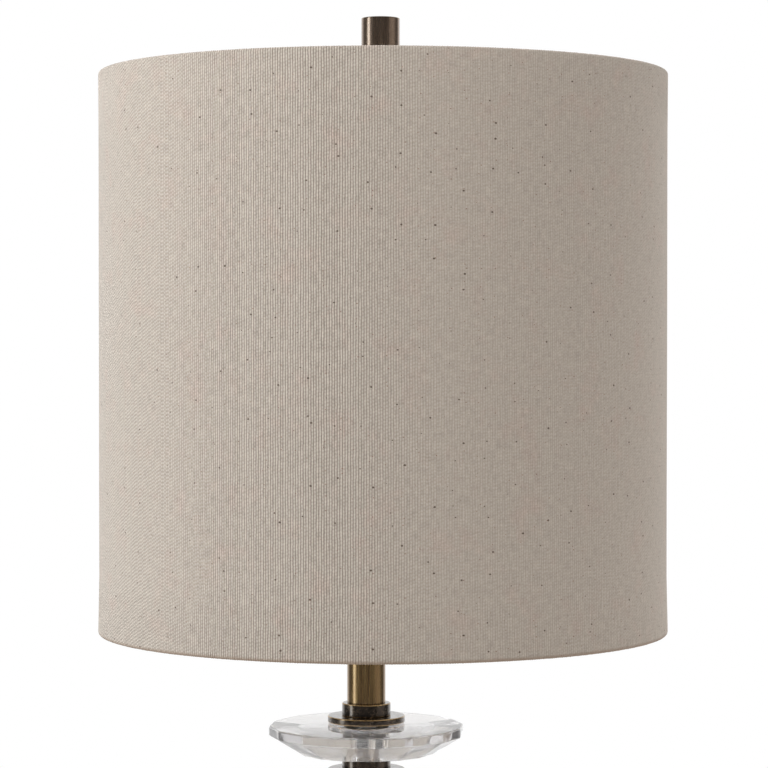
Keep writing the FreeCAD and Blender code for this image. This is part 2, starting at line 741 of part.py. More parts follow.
def make_socket_core():
    """Moulded core with the screw shell, the centre contact and the terminals."""
    core = turned("core_moulding", [
        ("0", "0"),
        ("Size.core_foot_radius", "0"),
        ("Size.core_foot_radius", "Size.core_foot_height"),
        ("Size.core_radius", "Size.core_foot_height"),
        ("Size.core_radius", "Size.core_height"),
        ("0", "Size.core_height"),
    ], z="Level.core")
    shaft_bore = cylinder(
        "core_shaft_bore", "Size.shaft_radius + Size.running_play", "Size.core_radius",
        y="-Size.shaft_depth + Size.seat_gap", z="Level.shaft_height",
        turn=Rotation(Vector(1, 0, 0), 90))
    terminal_level = "Level.core + Size.terminal_rise"
    terminal_bore = cylinder(
        "core_terminal_bore", "Size.terminal_shank_radius + Size.slip_play",
        "2 * Size.core_radius", x="-Size.core_radius", z=terminal_level,
        turn=Rotation(Vector(0, 1, 0), 90))
    keep("socket_core", cut_away("core_drilled", core, [shaft_bore, terminal_bore]))

    shell_radius = "Size.screw_shell_bore_radius + Size.screw_shell_wall"
    contact_corner = "sqrt(Size.contact_length ^ 2 + Size.contact_width ^ 2) / 2"
    contact_hole = f"{contact_corner} + Size.seat_gap"
    screw_shell = turned("screw_cup", [
        (contact_hole, "0"),
        (shell_radius, "0"),
        (shell_radius, "Size.screw_shell_height"),
        ("Size.screw_shell_bore_radius", "Size.screw_shell_height"),
        ("Size.screw_shell_bore_radius", "Size.screw_shell_wall"),
        (contact_hole, "Size.screw_shell_wall"),
    ], z="Level.core_top")
    keep("socket_screw_shell", screw_shell)

    contact = block("contact_leaf", "Size.contact_length", "Size.contact_width",
                    "Size.contact_height", "-Size.contact_length / 2",
                    "-Size.contact_width / 2", "Level.core_top")
    keep("socket_centre_contact", contact)

    screws = []
    for side, angle in (("left", -90), ("right", 90)):
        outwards = "-1" if angle < 0 else "1"
        turn = Rotation(Vector(0, 1, 0), angle)
        head = cylinder(f"terminal_head_{side}", "Size.terminal_head_radius",
                        "Size.terminal_head_height", x=f"{outwards} * Size.core_foot_radius",
                        z=terminal_level, turn=turn)
        shank = cylinder(
            f"terminal_shank_{side}", "Size.terminal_shank_radius",
            "Size.terminal_shank_length + Size.terminal_head_height / 2",
            x=f"{outwards} * (Size.core_foot_radius - Size.terminal_shank_length)",
            z=terminal_level, turn=turn)
        screws.append(joined(f"terminal_screw_{side}", [head, shank]))
    group = doc.addObject("Part::Compound", "terminals")
    group.Links = screws
    keep("socket_terminal_screws", group)


def make_switch():
    """Turn switch on the front of the socket: a steel shaft and a grooved knob."""
    forwards = Rotation(Vector(1, 0, 0), 90)
    knob_start = "(Size.socket_radius + Size.knob_standoff)"
    shaft_end = f"({knob_start} + Size.knob_length - Size.knob_end_wall)"
    shaft = cylinder("shaft", "Size.shaft_radius", f"{shaft_end} - Size.shaft_depth",
                     y="-Size.shaft_depth", z="Level.shaft_height", turn=forwards)
    keep("switch_shaft", shaft)

    bore = "Size.shaft_radius + Size.running_play"
    blind_depth = "Size.knob_length - Size.knob_end_wall + Size.running_play"
    blank = turned("knob_blank", [
        ("0", blind_depth),
        (bore, blind_depth),
        (bore, "0"),
        ("Size.knob_radius", "0"),
        ("Size.knob_radius", "Size.knob_length - Size.knob_bevel"),
        ("Size.knob_radius - Size.knob_bevel", "Size.knob_length"),
        ("0", "Size.knob_length"),
    ], y=f"-{knob_start}", z="Level.shaft_height", turn=forwards)
    grooves = []
    for index in range(KNOB_GROOVES):
        angle = f"{index * FULL_TURN / KNOB_GROOVES}"
        grooves.append(cylinder(
            f"knob_groove_{index}", "Size.knob_groove_radius", "Size.knob_length",
            x=f"Size.knob_radius * cos({angle} deg)", y=f"-{knob_start}",
            z=f"Level.shaft_height + Size.knob_radius * sin({angle} deg)", turn=forwards))
    keep("switch_knob", cut_away("knob", blank, grooves))


# Bulb

def make_bulb():
    """Blown glass on a screw cap, with its insulator and end contact."""
    insulator_foot = "Size.bulb_contact_height"
    cap_foot = f"{insulator_foot} + Size.bulb_insulator_height"
    glass_foot = f"{cap_foot} + Size.bulb_cap_height"
    cap_inside = "Size.bulb_cap_radius - Size.bulb_cap_wall"

    keep("bulb_contact", cylinder("solder_tip", "Size.bulb_contact_radius",
                                  "Size.bulb_contact_height", z="Level.bulb"))
    insulator = turned("bulb_insulator_blank", [
        ("0", "0"), ("Size.bulb_insulator_foot", "0"),
        (cap_inside, "Size.bulb_insulator_height"), ("0", "Size.bulb_insulator_height"),
    ], z=f"Level.bulb + {insulator_foot}")
    keep("bulb_insulator", insulator)
    cap = turned("bulb_cap_blank", sleeve(cap_inside, "Size.bulb_cap_radius",
                                          "Size.bulb_cap_height"), z=f"Level.bulb + {cap_foot}")
    keep("bulb_screw_cap", cap)

    # The neck curve stands upright at the cap and runs tangent into the ball.
    ball, neck, wall = "Size.bulb_ball_radius", "Size.bulb_neck_radius", "Size.bulb_glass_wall"
    centre = "(Size.bulb_glass_height - Size.bulb_ball_radius)"
    rise = f"({centre} - Size.bulb_neck_height)"
    curve = f"(({neck} ^ 2 + {rise} ^ 2 - {ball} ^ 2) / (2 * ({ball} - {neck})))"
    across_share = f"({neck} + {curve}) / ({ball} + {curve})"
    down_share = f"{rise} / ({ball} + {curve})"
    inner_ball = f"({ball} - {wall})"
    glass = turned("bulb_envelope", [
        (f"{neck} - {wall}", "0"),
        (neck, "0"),
        (neck, "Size.bulb_neck_height", f"-{curve}"),
        (f"{ball} * {across_share}", f"{centre} - {ball} * {down_share}", ball),
        ("0", "Size.bulb_glass_height"),
        ("0", f"Size.bulb_glass_height - {wall}", f"-{inner_ball}"),
        (f"{inner_ball} * {across_share}", f"{centre} - {inner_ball} * {down_share}",
         f"{curve} + {wall}"),
        (f"{neck} - {wall}", "Size.bulb_neck_height"),
    ], z=f"Level.bulb + {glass_foot}")
    keep("bulb_glass", glass)


# Shade

def make_shade_skins():
    """Linen rolled in over both rims, and the stiff liner behind it."""
    gap = "Size.shade_layer_gap"
    thick, bend, fold = "Size.fabric_thickness", "Size.rim_round", "Size.rim_fold"
    height = "Size.shade_height"
    outer = "Size.shade_radius"
    wall = f"({outer} - {thick})"
    fold_outer = f"({wall} - Size.shade_liner_thickness - 3 * {gap} - 2 * Size.shade_wire_radius)"
    fold_inner = f"({fold_outer} - {thick})"
    inner_bend = f"({bend} - {thick})"
    fabric = turned("linen", [
        (wall, bend, f"-{inner_bend}"),
        (f"{wall} - {inner_bend}", thick),
        (f"{fold_outer} + {inner_bend}", thick, f"-{inner_bend}"),
        (fold_outer, bend),
        (fold_outer, fold),
        (fold_inner, fold),
        (fold_inner, bend, bend),
        (f"{fold_inner} + {bend}", "0"),
        (f"{outer} - {bend}", "0", bend),
        (outer, bend),
        (outer, f"{height} - {bend}", bend),
        (f"{outer} - {bend}", height),
        (f"{fold_inner} + {bend}", height, bend),
        (fold_inner, f"{height} - {bend}"),
        (fold_inner, f"{height} - {fold}"),
        (fold_outer, f"{height} - {fold}"),
        (fold_outer, f"{height} - {bend}", f"-{inner_bend}"),
        (f"{fold_outer} + {inner_bend}", f"{height} - {thick}"),
        (f"{wall} - {inner_bend}", f"{height} - {thick}", f"-{inner_bend}"),
        (wall, f"{height} - {bend}"),
    ], x="Level.shade_axis", z="Level.shade_foot")
    keep("shade_fabric", fabric)

    liner_edge = f"({bend} + {gap})"
    liner = turned("stiff_liner", sleeve(f"{wall} - Size.shade_liner_thickness", wall,
                                         f"{height} - 2 * {liner_edge}"),
                   x="Level.shade_axis", z=f"Level.shade_foot + {liner_edge}")
    keep("shade_liner", liner)


def make_shade_frame():
    """Two wire rings, and three arms from the upper ring down to the fitter washer."""
    gap = "Size.shade_layer_gap"
    wire = "Size.shade_wire_radius"
    wall = "(Size.fabric_thickness + Size.shade_liner_thickness)"
    ring_radius = f"Size.shade_radius - {wall} - {gap} - {wire}"
    inset = f"(Size.fabric_thickness + {gap} + {wire})"
    for name, level in (
        ("top", f"Level.shade_top - {inset}"),
        ("bottom", f"Level.shade_foot + {inset}"),
    ):
        ring = doc.addObject("Part::Torus", f"ring_{name}")
        bind(ring, {"Radius1": ring_radius, "Radius2": wire})
        place(ring, x="Level.shade_axis", z=level)
        keep(f"shade_{name}_ring", ring)

    washer = turned("washer_of_fitter", sleeve("Size.fitter_bore_radius", "Size.fitter_radius",
                                               "Size.fitter_thickness"),
                    x="Level.shade_axis", z="Level.fitter")
    keep("shade_fitter_ring", washer)

    arm_level = number("Level.fitter + Size.fitter_thickness / 2")
    arm_top = number(f"Level.shade_top - {inset} - {wire} - {gap}")
    arm_root = number(f"Size.fitter_radius + {gap}")
    corners = [
        Vector(number(ring_radius), 0, arm_top),
        Vector(number(ring_radius), 0, arm_level),
        Vector(arm_root, 0, arm_level),
    ]
    for index, angle in enumerate(SPIDER_ANGLES, start=1):
        arm = bent_wire(f"arm_{index}", corners, [number("Size.spider_bend")], number(wire))
        place(arm, x="Level.shade_axis", turn=Rotation(Vector(0, 0, 1), angle))
        keep(f"shade_spider_arm_{index}", arm)


# Finial

def make_finial():
    """Turned cylinder with a pressed-in threaded insert."""
    insert_bore = "Size.stud_radius + Size.running_play"
    insert = turned("insert", sleeve(insert_bore, "Size.insert_radius", "Size.insert_length"),
                    x="Size.harp_lean", z="Level.finial_foot")
    keep("finial_insert", insert)

    pocket = "Size.insert_radius + Size.running_play"
    pocket_depth = "Size.stud_length + Size.seat_gap"
    bevel = "Size.edge_bevel"
    body = turned("finial_blank", [
        ("0", pocket_depth),
        (pocket, pocket_depth),
        (pocket, "0"),
        (f"Size.finial_radius - {bevel}", "0"),
        ("Size.finial_radius", bevel),
        ("Size.finial_radius", f"Size.finial_height - {bevel}"),
        (f"Size.finial_radius - {bevel}", "Size.finial_height"),
        ("0", "Size.finial_height"),
    ], x="Size.harp_lean", z="Level.finial_foot")
    keep("finial_body", body)


make_foot()
make_cord_bushing()
make_rod()
make_knuckle("foot", "Level.foot_knuckle")
make_knuckle("column_bottom", "Level.column_foot_knuckle")
make_knuckle("column_top", "Level.column_top_knuckle")
make_knuckle("neck", "Level.neck_knuckle")
make_crystal("lower", "Level.lower_disc")
make_crystal("upper", "Level.upper_disc")
make_gaskets()
make_column()
make_neck()
make_saddle()
make_harp()
make_harp_stud()
make_ferrules()
make_socket_shells()
make_socket_core()
make_switch()
make_bulb()
make_shade_skins()
make_shade_frame()
make_finial()
doc.recompute()

for item in doc.Objects:
    if "Invalid" in item.State or "Error" in item.State:
        raise RuntimeError(f"{item.Label} failed: {item.State}")
for piece in pieces:
    if piece.Shape.isNull() or not piece.Shape.isValid():
        raise RuntimeError(f"{piece.Label} has no valid shape")

os.makedirs("parts", exist_ok=True)
for piece in pieces:
    piece.Shape.exportStep(os.path.join("parts", piece.Label + ".step"))
print(len(pieces), "sub-parts, top at", round(max(p.Shape.BoundBox.ZMax for p in pieces), 2))
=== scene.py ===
"""Dresses a packed candlestick lamp: linen drum shade, brushed brass stem and cut-glass discs.

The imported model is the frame, in metres and with +Z up, and every piece rides on one of its bodies.
"""
import json
import math

import bmesh
import bpy
from bpy.props import FloatProperty, FloatVectorProperty, IntProperty, PointerProperty
from mathutils import Matrix, Vector, noise


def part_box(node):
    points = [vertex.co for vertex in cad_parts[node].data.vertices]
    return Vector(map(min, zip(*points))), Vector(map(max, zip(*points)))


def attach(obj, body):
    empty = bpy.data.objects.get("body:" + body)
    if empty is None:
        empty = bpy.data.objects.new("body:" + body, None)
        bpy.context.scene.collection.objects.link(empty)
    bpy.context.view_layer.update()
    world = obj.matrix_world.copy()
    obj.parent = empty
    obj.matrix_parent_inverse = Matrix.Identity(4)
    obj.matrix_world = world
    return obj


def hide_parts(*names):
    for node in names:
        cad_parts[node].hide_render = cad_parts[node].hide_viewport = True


bl_info = {
    "name": "Candlestick lamp",
    "version": (1, 0, 0),
    "blender": (4, 5, 0),
    "location": "3D View > Sidebar > Lamp",
    "description": "Models and finishes the pieces of a candlestick lamp with a linen drum shade",
    "category": "Add Mesh",
}

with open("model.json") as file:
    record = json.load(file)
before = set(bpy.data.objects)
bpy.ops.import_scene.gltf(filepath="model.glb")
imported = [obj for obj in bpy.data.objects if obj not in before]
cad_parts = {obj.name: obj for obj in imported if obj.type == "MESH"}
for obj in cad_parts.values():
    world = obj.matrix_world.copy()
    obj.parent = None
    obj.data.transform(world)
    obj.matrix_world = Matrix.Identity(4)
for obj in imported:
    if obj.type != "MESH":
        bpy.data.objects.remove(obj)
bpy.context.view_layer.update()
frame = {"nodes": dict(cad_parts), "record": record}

MM = 0.001
FULL_TURN = 2 * math.pi
UP = Vector((0, 0, 1))
SECTORS = 16          # a round skin is spun through one sector, and the others are copies of it
MERGE = MM / 1000     # points closer than this are one point
WEAR = "wear"         # point attribute: 1 on an edge that hands have rubbed bright
CLOTH = "cloth"       # UV map of the linen, in metres round the drum and along the cloth
SHADE_MIDDLE = 0.61   # metres above the floor, where the lamps aim
WHITE = (1, 1, 1, 1)
SPREAD = {"From Min": 0.3, "From Max": 0.7}   # holds nearly all values of a noise texture

TURNED_BRASS = "Turned antique brass"
FINIAL_BRASS = "Brushed umber brass"
PAPER = "Seamless paper"
FINISHES = {
    "antique_brass": "Brushed antique brass",
    "dark_bronze": "Dark bronze patina",
    "cast_iron": "Sand-cast iron",
    "zinc_steel": "Zinc-plated steel",
    "plated_wire": "Brass-plated wire",
    "socket_brass": "Stamped brass",
    "fibre": "Vulcanised fibre",
    "phenolic": "Moulded phenolic",
    "bulb_glass": "Frosted bulb glass",
    "bulb_insulator": "Black vitrite",
    "bulb_cap": "Rolled aluminium",
    "crystal": "Cut crystal",
    "gasket": "Soft vinyl",
    "felt": "Pressed felt",
    "linen": "Plain-woven linen",
    "shade_liner": "White styrene sheet",
}


def linear(code):
    """An sRGB hex value as a linear colour."""
    shares = [int(code[start:start + 2], 16) / 255 for start in (0, 2, 4)]
    toe, slope, offset, gamma = 0.04045, 12.92, 0.055, 2.4
    return (*(share / slope if share <= toe else ((share + offset) / (1 + offset)) ** gamma
              for share in shares), 1.0)


def smooth(value):
    """Ease a value from 0 to 1, level at both ends."""
    share = min(1.0, max(0.0, value))
    return share * share * (3 - 2 * share)


# Settings

def colour(name, description, code):
    """A colour property with an sRGB hex default."""
    return FloatVectorProperty(name=name, description=description, subtype="COLOR", size=4,
                               min=0, max=1, default=linear(code))


def length(name, description, millimetres):
    """A length property with a default in millimetres."""
    return FloatProperty(name=name, description=description, unit="LENGTH", precision=5,
                         default=millimetres * MM)


def angle(name, description, degrees):
    """An angle property with a default in degrees."""
    return FloatProperty(name=name, description=description, subtype="ANGLE",
                         default=math.radians(degrees))


def level(name, description, value):
    """A property for the level of a light."""
    return FloatProperty(name=name, description=description, min=0, default=value)


class LAMP_PG_linen(bpy.types.PropertyGroup):
    """The cloth of the drum shade."""

    yarn: colour("Yarn", "Raised side of the linen yarns", "C1B6AA")
    valley: colour("Valley", "Shaded gap between two yarns", "877B70")
    blush: colour("Blush", "Warmer yarns that lie in faint patches", "C9A99D")
    # painted shade: a darker brown for the lower fold, where less light reaches from below
    painted_fold_shade: colour("Fold_shade", "Cloth browned by glue along the lower fold", "8A7563")
    fleck: colour("Fleck", "Bits of dark husk spun into the yarn", "4A372B")
    husk: colour("Husk", "Smaller red-brown bits between the flecks", "7A5140")
    rib_pitch: length("Rib pitch", "From one upright yarn to the next", 1.2)
    bead_pitch: length("Bead pitch", "From one bead of an upright yarn to the next", 1.65)
    relief: length("Relief", "Depth of the weave", 0.3)
    # painted shade: the ribs and their dark valleys are deepest round this heading, the side that the
    # key light rakes
    shaded_rib_heading: angle("Raked heading", "Where the cloth is keylit and its ribs stand up", -110)
    shaded_rib_reach: length("Raked reach", "How far from there the ribs stay up", 82)
    fleck_spacing: length("Fleck spacing", "Mean distance between two flecks", 14)
    rim_round: length("Rim round", "Radius of the cloth where it rolls over a rim", 1.3)
    rim_fold: length("Rim fold", "Depth of the cloth turned in behind a rim", 5)
    rim_thread: length("Rim threads", "Height of the yarns that stand out along a rim", 0.14)
    seam_width: length("Seam width", "Overlap of the cloth at the back", 9)
    seam_lift: length("Seam lift", "Step of the overlap at the back", 0.45)
    foot_swell: length("Foot swell", "How far the lower hem stands out", 0.45)


class LAMP_PG_metal(bpy.types.PropertyGroup):
    """The turned and bent metal pieces."""

    brass: colour("Brass", "Brushed antique brass", "AA9062")
    brass_dark: colour("Brass patina", "Brown patina in the brush marks", "785A3A")
    umber: colour("Umber", "Brushed brass of the finial, browner", "B39E8A")
    umber_dark: colour("Umber patina", "Patina in the finial's brush marks", "846C5B")
    bronze: colour("Bronze", "Dark patina of the flanges and collars", "635649")
    bronze_deep: colour("Deep bronze", "Darkest patina", "3B332D")
    worn: colour("Worn brass", "Bright brass on rubbed edges", "B99B6E")
    edge_round: length("Edge round", "Radius of a broken edge", 0.45)
    wear_reach: length("Wear reach", "How far rubbed brass reaches from an edge", 0.9)
    thread_pitch: length("Thread pitch", "Of the hollow rod", 0.94)
    cap_pitch: length("Cap pitch", "Of the bulb's rolled thread", 3.63)


class LAMP_PG_glass(bpy.types.PropertyGroup):
    """The two cut-glass discs."""

    tint: colour("Tint", "Clear glass with a trace of grey", "F0EEEF")
    facets: IntProperty(name="Facets", description="Flat facets round the rim", default=16,
                        min=6, max=64)
    turn: angle("Turn", "Of the first corner from +X", 5.65)
    crown: length("Crown", "Rise of the domed top", 1.3)
    band_height: length("Band height", "Of the upright facets at the rim", 4.5)
    bevel_height: length("Bevel height", "Of the steep facets under the rim", 8.8)
    girdle_radius: length("Girdle radius", "Corner where steep facets meet shallow ones", 34)
    seat_radius: length("Seat radius", "Corner of the flat underside", 13.5)
    top_round: length("Top round", "Polished edge of the top", 0.7)
    facet_edge: length("Facet edge", "Width of the polished line between two facets", 0.4)


class LAMP_PG_stage(bpy.types.PropertyGroup):
    """Camera, lights and floor."""

    camera_side: length("Camera side", "Camera's place to the right of the stem", 8.8)
    camera_distance: length("Camera distance", "From the stem", 1354.8)
    camera_height: length("Camera height", "Above the floor", 624.7)
    camera_pitch: angle("Camera pitch", "How far the camera looks down", 1.08)
    camera_lens: FloatProperty(name="Lens", description="Focal length", unit="CAMERA",
                               default=128.03)
    floor: colour("Floor", "Pale floor", "E4E2DF")
    front_light: level("Front light", "Of the studio's front half", 0.34)
    back_light: level("Back light", "Of the studio's back half", 1.7)
    key_light: level("Key light", "Of the narrow softbox at the left", 4.3)
    left_wash: level("Left wash", "Of the wide lamp at the left", 0.85)
    top_light: level("Top light", "Of the lamp overhead", 5.4)
    right_light: level("Right light", "Of the softbox at the right", 0.35)


# Nodes and materials

def wire(node, inputs):
    """Set a node's inputs to values, or link them to the outputs given."""
    for name, value in inputs.items():
        socket = node.inputs[name] if isinstance(name, int) else next(
            item for item in node.inputs if item.enabled and item.name == name)
        if isinstance(value, bpy.types.NodeSocket):
            node.id_data.links.new(value, socket)
        else:
            socket.default_value = value


def add(tree, kind, inputs=None, **settings):
    """Add a node with its settings and inputs, and return its first output in use."""
    node = tree.nodes.new("ShaderNode" + kind)
    for name, value in settings.items():
        setattr(node, name, value)
    wire(node, inputs or {})
    return next((item for item in node.outputs if item.enabled), None)


def new_material(name, **fixed):
    """Make a material, whose fixed inputs are given with _ for a space; return tree and shader."""
    material = bpy.data.materials.new(name)
    material.use_nodes = True
    tree = material.node_tree
    tree.nodes.clear()
    surface = add(tree, "BsdfPrincipled")
    add(tree, "OutputMaterial", {"Surface": surface})
    wire(surface.node, {key.replace("_", " "): value for key, value in fixed.items()})
    return tree, surface.node


def place_of(tree, across, along=None):
    """Object coordinates counted in grains of so many millimetres across and along the stem."""
    where = add(tree, "TexCoord").node.outputs["Object"]
    wide, high = across * MM, (along or across) * MM
    return add(tree, "Mapping", {"Vector": where, "Scale": (1 / wide, 1 / wide, 1 / high)})


def wandering_cloth(tree):
    """The cloth's own coordinates, with yarns that wander a little."""
    patch, sideways, lengthways = 9 * MM, 0.5 * MM, 0.8 * MM
    cloth = add(tree, "UVMap", uv_map=CLOTH)
    wander = add(tree, "TexNoise", {"Vector": cloth, "Scale": 1 / patch, "Detail": 3.0})
    drift = add(tree, "VectorMath", {
        0: wander.node.outputs["Color"], 1: (0.5, 0.5, 0.5)}, operation="SUBTRACT")
    drift = add(tree, "VectorMath", {0: drift, 1: (sideways, lengthways, 0)},
                operation="MULTIPLY")
    return add(tree, "VectorMath", {0: cloth, 1: drift}, operation="ADD")


def yarn_streaks(tree, laid, across, along):
    """Uneven streaks of the given size that run along or across the yarns."""
    place = add(tree, "VectorMath", {0: laid, 1: (1 / across, 1 / along, 1)},
                operation="MULTIPLY")
    return add(tree, "TexNoise", {"Vector": place, "Scale": 1.0, "Detail": 2.0})


def weave_height(tree, laid, slub, settings):
    """Height of the weave: beaded ribs on the side that the key light rakes, and a fainter check
    elsewhere. The valleys' colour follows it, so it also places painted shade.
    """
    # phase of a yarn's beads against its neighbour's: a fixed step, and a random part
    bead_step, bead_scatter = -0.7 * math.pi, 1.6
    across = add(tree, "SeparateXYZ", {"Vector": laid})
    rib = add(tree, "Math", {0: across, 1: drum_rib_pitch(settings)}, operation="DIVIDE")
    yarn_number = add(tree, "Math", {0: rib}, operation="FLOOR")
    yarn_random = add(tree, "TexWhiteNoise", {"W": yarn_number}, noise_dimensions="1D")
    rib_round = add(tree, "Math", {0: rib, 1: math.pi}, operation="MULTIPLY")
    for shaping in ("SINE", "ABSOLUTE"):
        rib_round = add(tree, "Math", {0: rib_round}, operation=shaping)

    bead = add(tree, "Math", {
        0: across.node.outputs["Y"], 1: FULL_TURN / settings.bead_pitch}, operation="MULTIPLY")
    bead = add(tree, "Math", {0: yarn_number, 1: bead_step, 2: bead}, operation="MULTIPLY_ADD")
    bead = add(tree, "Math", {0: yarn_random, 1: bead_scatter, 2: bead},
               operation="MULTIPLY_ADD")
    bead = add(tree, "Math", {0: bead}, operation="SINE")
    bead_round = add(tree, "MapRange", {
        "Value": bead, "From Min": -1.0, "From Max": 1.0, "To Min": 0.7, "To Max": 1.0})
    fullness = add(tree, "MapRange", {"Value": slub, **SPREAD, "To Min": 0.72, "To Max": 1.1})
    fullness = add(tree, "Math", {0: yarn_random, 1: 0.2, 2: fullness},
                   operation="MULTIPLY_ADD")
    height = add(tree, "Math", {0: rib_round, 1: bead_round}, operation="MULTIPLY")
    height = add(tree, "Math", {0: height, 1: fullness}, operation="MULTIPLY")
    height = add(tree, "MapRange", {
        "Value": height, "From Min": 0.12, "From Max": 0.85})

    # painted shade: the ribs' relief and the dark valleys between them are strongest round the
    # heading that the key light rakes, and fade away from it
    reach = settings.shaded_rib_reach
    away = add(tree, "Math", {0: across, 1: settings.shaded_rib_heading * Ring("shade_fabric").radius},
               operation="SUBTRACT")
    checked = add(tree, "MapRange", {
        "Value": away, "From Min": -reach, "From Max": reach, "To Min": 0.32, "To Max": 0.05})
    away = add(tree, "Math", {0: away}, operation="ABSOLUTE")
    lit_rib_share = add(tree, "MapRange", {
        "Value": away, "From Min": reach / 4, "From Max": reach, "To Min": 1.0,
        "To Max": 0.25}, interpolation_type="SMOOTHSTEP")
    unlit_check = add(tree, "Math", {0: bead, 1: checked, 2: 0.6}, operation="MULTIPLY_ADD")
    return add(tree, "Mix", {"Factor": lit_rib_share, "A": unlit_check, "B": height})


def husks_on(tree, laid, cloth_colour, settings):
    """The cloth's colour with dark husks, and with smaller red-brown ones at half the spacing."""
    flattened, least, cover = 1.3, 0.2, 0.85    # shape, smallest share of the size, opacity
    for spacing, largest, dye in (
        (settings.fleck_spacing, 0.6 * MM, settings.fleck),
        (settings.fleck_spacing / 2, 0.3 * MM, settings.husk),
    ):
        place = add(tree, "VectorMath", {0: laid, 1: (1 / spacing, flattened / spacing, 1)},
                    operation="MULTIPLY")
        cell = add(tree, "TexVoronoi", {"Vector": place, "Scale": 1.0}, voronoi_dimensions="2D")
        size = add(tree, "SeparateColor", {"Color": cell.node.outputs["Color"]})
        reach = add(tree, "MapRange", {
            "Value": size, "From Min": least, "To Min": least * largest / spacing,
            "To Max": largest / spacing})
        share = add(tree, "Math", {0: cell, 1: reach}, operation="LESS_THAN")
        share = add(tree, "Math", {0: share, 1: cover}, operation="MULTIPLY")
        cloth_colour = add(tree, "Mix", {"Factor": share, "A": cloth_colour, "B": dye},
                           data_type="RGBA")
    return cloth_colour


def linen_material(settings):
    """Plain-woven natural linen laminated on a drum, unbleached.

    Thick upright yarns dip under the cross yarns, so the eye sees columns of pale beads with
    dark gaps, a few dark husks and patches of warmer yarn. The ribs stand up, with painted shade
    in their gaps, on the side that the key light rakes, and elsewhere it looks checked or plain.
    """
    tree, shader = new_material(FINISHES["linen"], Roughness=0.92, Specular_IOR_Level=0.25,
                                Sheen_Weight=0.12, Sheen_Roughness=0.5)
    laid = wandering_cloth(tree)
    slub = yarn_streaks(tree, laid, 0.8 * MM, 5 * MM)
    depth = weave_height(tree, laid, slub, settings)

    blush = add(tree, "TexNoise", {
        "Vector": laid, "Scale": 1 / (18 * MM), "Detail": 4.0, "Roughness": 0.7})
    blush = add(tree, "MapRange", {
        "Value": blush, "From Min": 0.52, "From Max": 0.72, "To Min": 0.0, "To Max": 0.35})
    yarn = add(tree, "Mix", {"Factor": blush, "A": settings.yarn, "B": settings.blush},
               data_type="RGBA")
    woven = add(tree, "Mix", {"Factor": depth, "A": settings.valley, "B": yarn},
                data_type="RGBA")

    fibre = add(tree, "TexNoise", {"Vector": laid, "Scale": 1 / (0.6 * MM), "Detail": 3.0})
    weft = yarn_streaks(tree, laid, 6 * MM, 0.9 * MM)
    tone = add(tree, "Math", {0: slub, 1: fibre}, operation="ADD")
    tone = add(tree, "Math", {0: tone, 1: weft}, operation="ADD")
    tone = add(tree, "MapRange", {
        "Value": tone, "From Min": 1.1, "From Max": 1.9, "To Min": 0.86, "To Max": 1.14})
    toned = add(tree, "VectorMath", {0: woven, "Scale": tone}, operation="SCALE")

    # painted shade: the cloth darkens towards the lower fold, where less light reaches from below
    foot = Ring("shade_fabric").foot
    level = add(tree, "SeparateXYZ", {"Vector": add(tree, "TexCoord").node.outputs["Object"]})
    fold_shade_share = add(tree, "MapRange", {
        "Value": level.node.outputs["Z"], "From Min": foot + MM / 2, "From Max": foot + 2 * MM,
        "To Min": 0.8, "To Max": 0.0})
    toned = add(tree, "Mix", {"Factor": fold_shade_share, "A": toned, "B": settings.painted_fold_shade},
                data_type="RGBA")
    bump = add(tree, "Bump", {"Height": depth, "Strength": 0.75, "Distance": settings.relief})
    wire(shader, {"Base Color": husks_on(tree, laid, toned, settings), "Normal": bump})


def styrene_material():
    """Calendered white styrene sheet: milky, almost matt, with a faint orange peel."""
    tree, shader = new_material(FINISHES["shade_liner"], Roughness=0.45, IOR=1.59)
    cloud = add(tree, "TexNoise", {"Vector": place_of(tree, 4, 9), "Scale": 1.0, "Detail": 3.0})
    sheet = add(tree, "Mix", {"Factor": cloud, "A": linear("E9E5DD"), "B": linear("F3F0EA")},
                data_type="RGBA")
    peel = add(tree, "TexNoise", {"Vector": place_of(tree, 0.8), "Scale": 1.0})
    bump = add(tree, "Bump", {"Height": peel, "Strength": 0.15, "Distance": 0.05 * MM})
    wire(shader, {"Base Color": sheet, "Normal": bump})


def from_stem(tree, where):
    """Distance of a place from the stem."""
    flat = add(tree, "VectorMath", {0: where, 1: (1, 1, 0)}, operation="MULTIPLY")
    return add(tree, "VectorMath", {0: flat}, operation="LENGTH").node.outputs["Value"]


def lathe_marks(tree, width):
    """Distance from the stem and height, counted in lathe marks of so many millimetres."""
    where = add(tree, "TexCoord").node.outputs["Object"]
    level = add(tree, "SeparateXYZ", {"Vector": where}).node.outputs["Z"]
    marks = add(tree, "CombineXYZ", {"X": from_stem(tree, where), "Y": level})
    return add(tree, "VectorMath", {0: marks, "Scale": 1 / (width * MM)}, operation="SCALE")


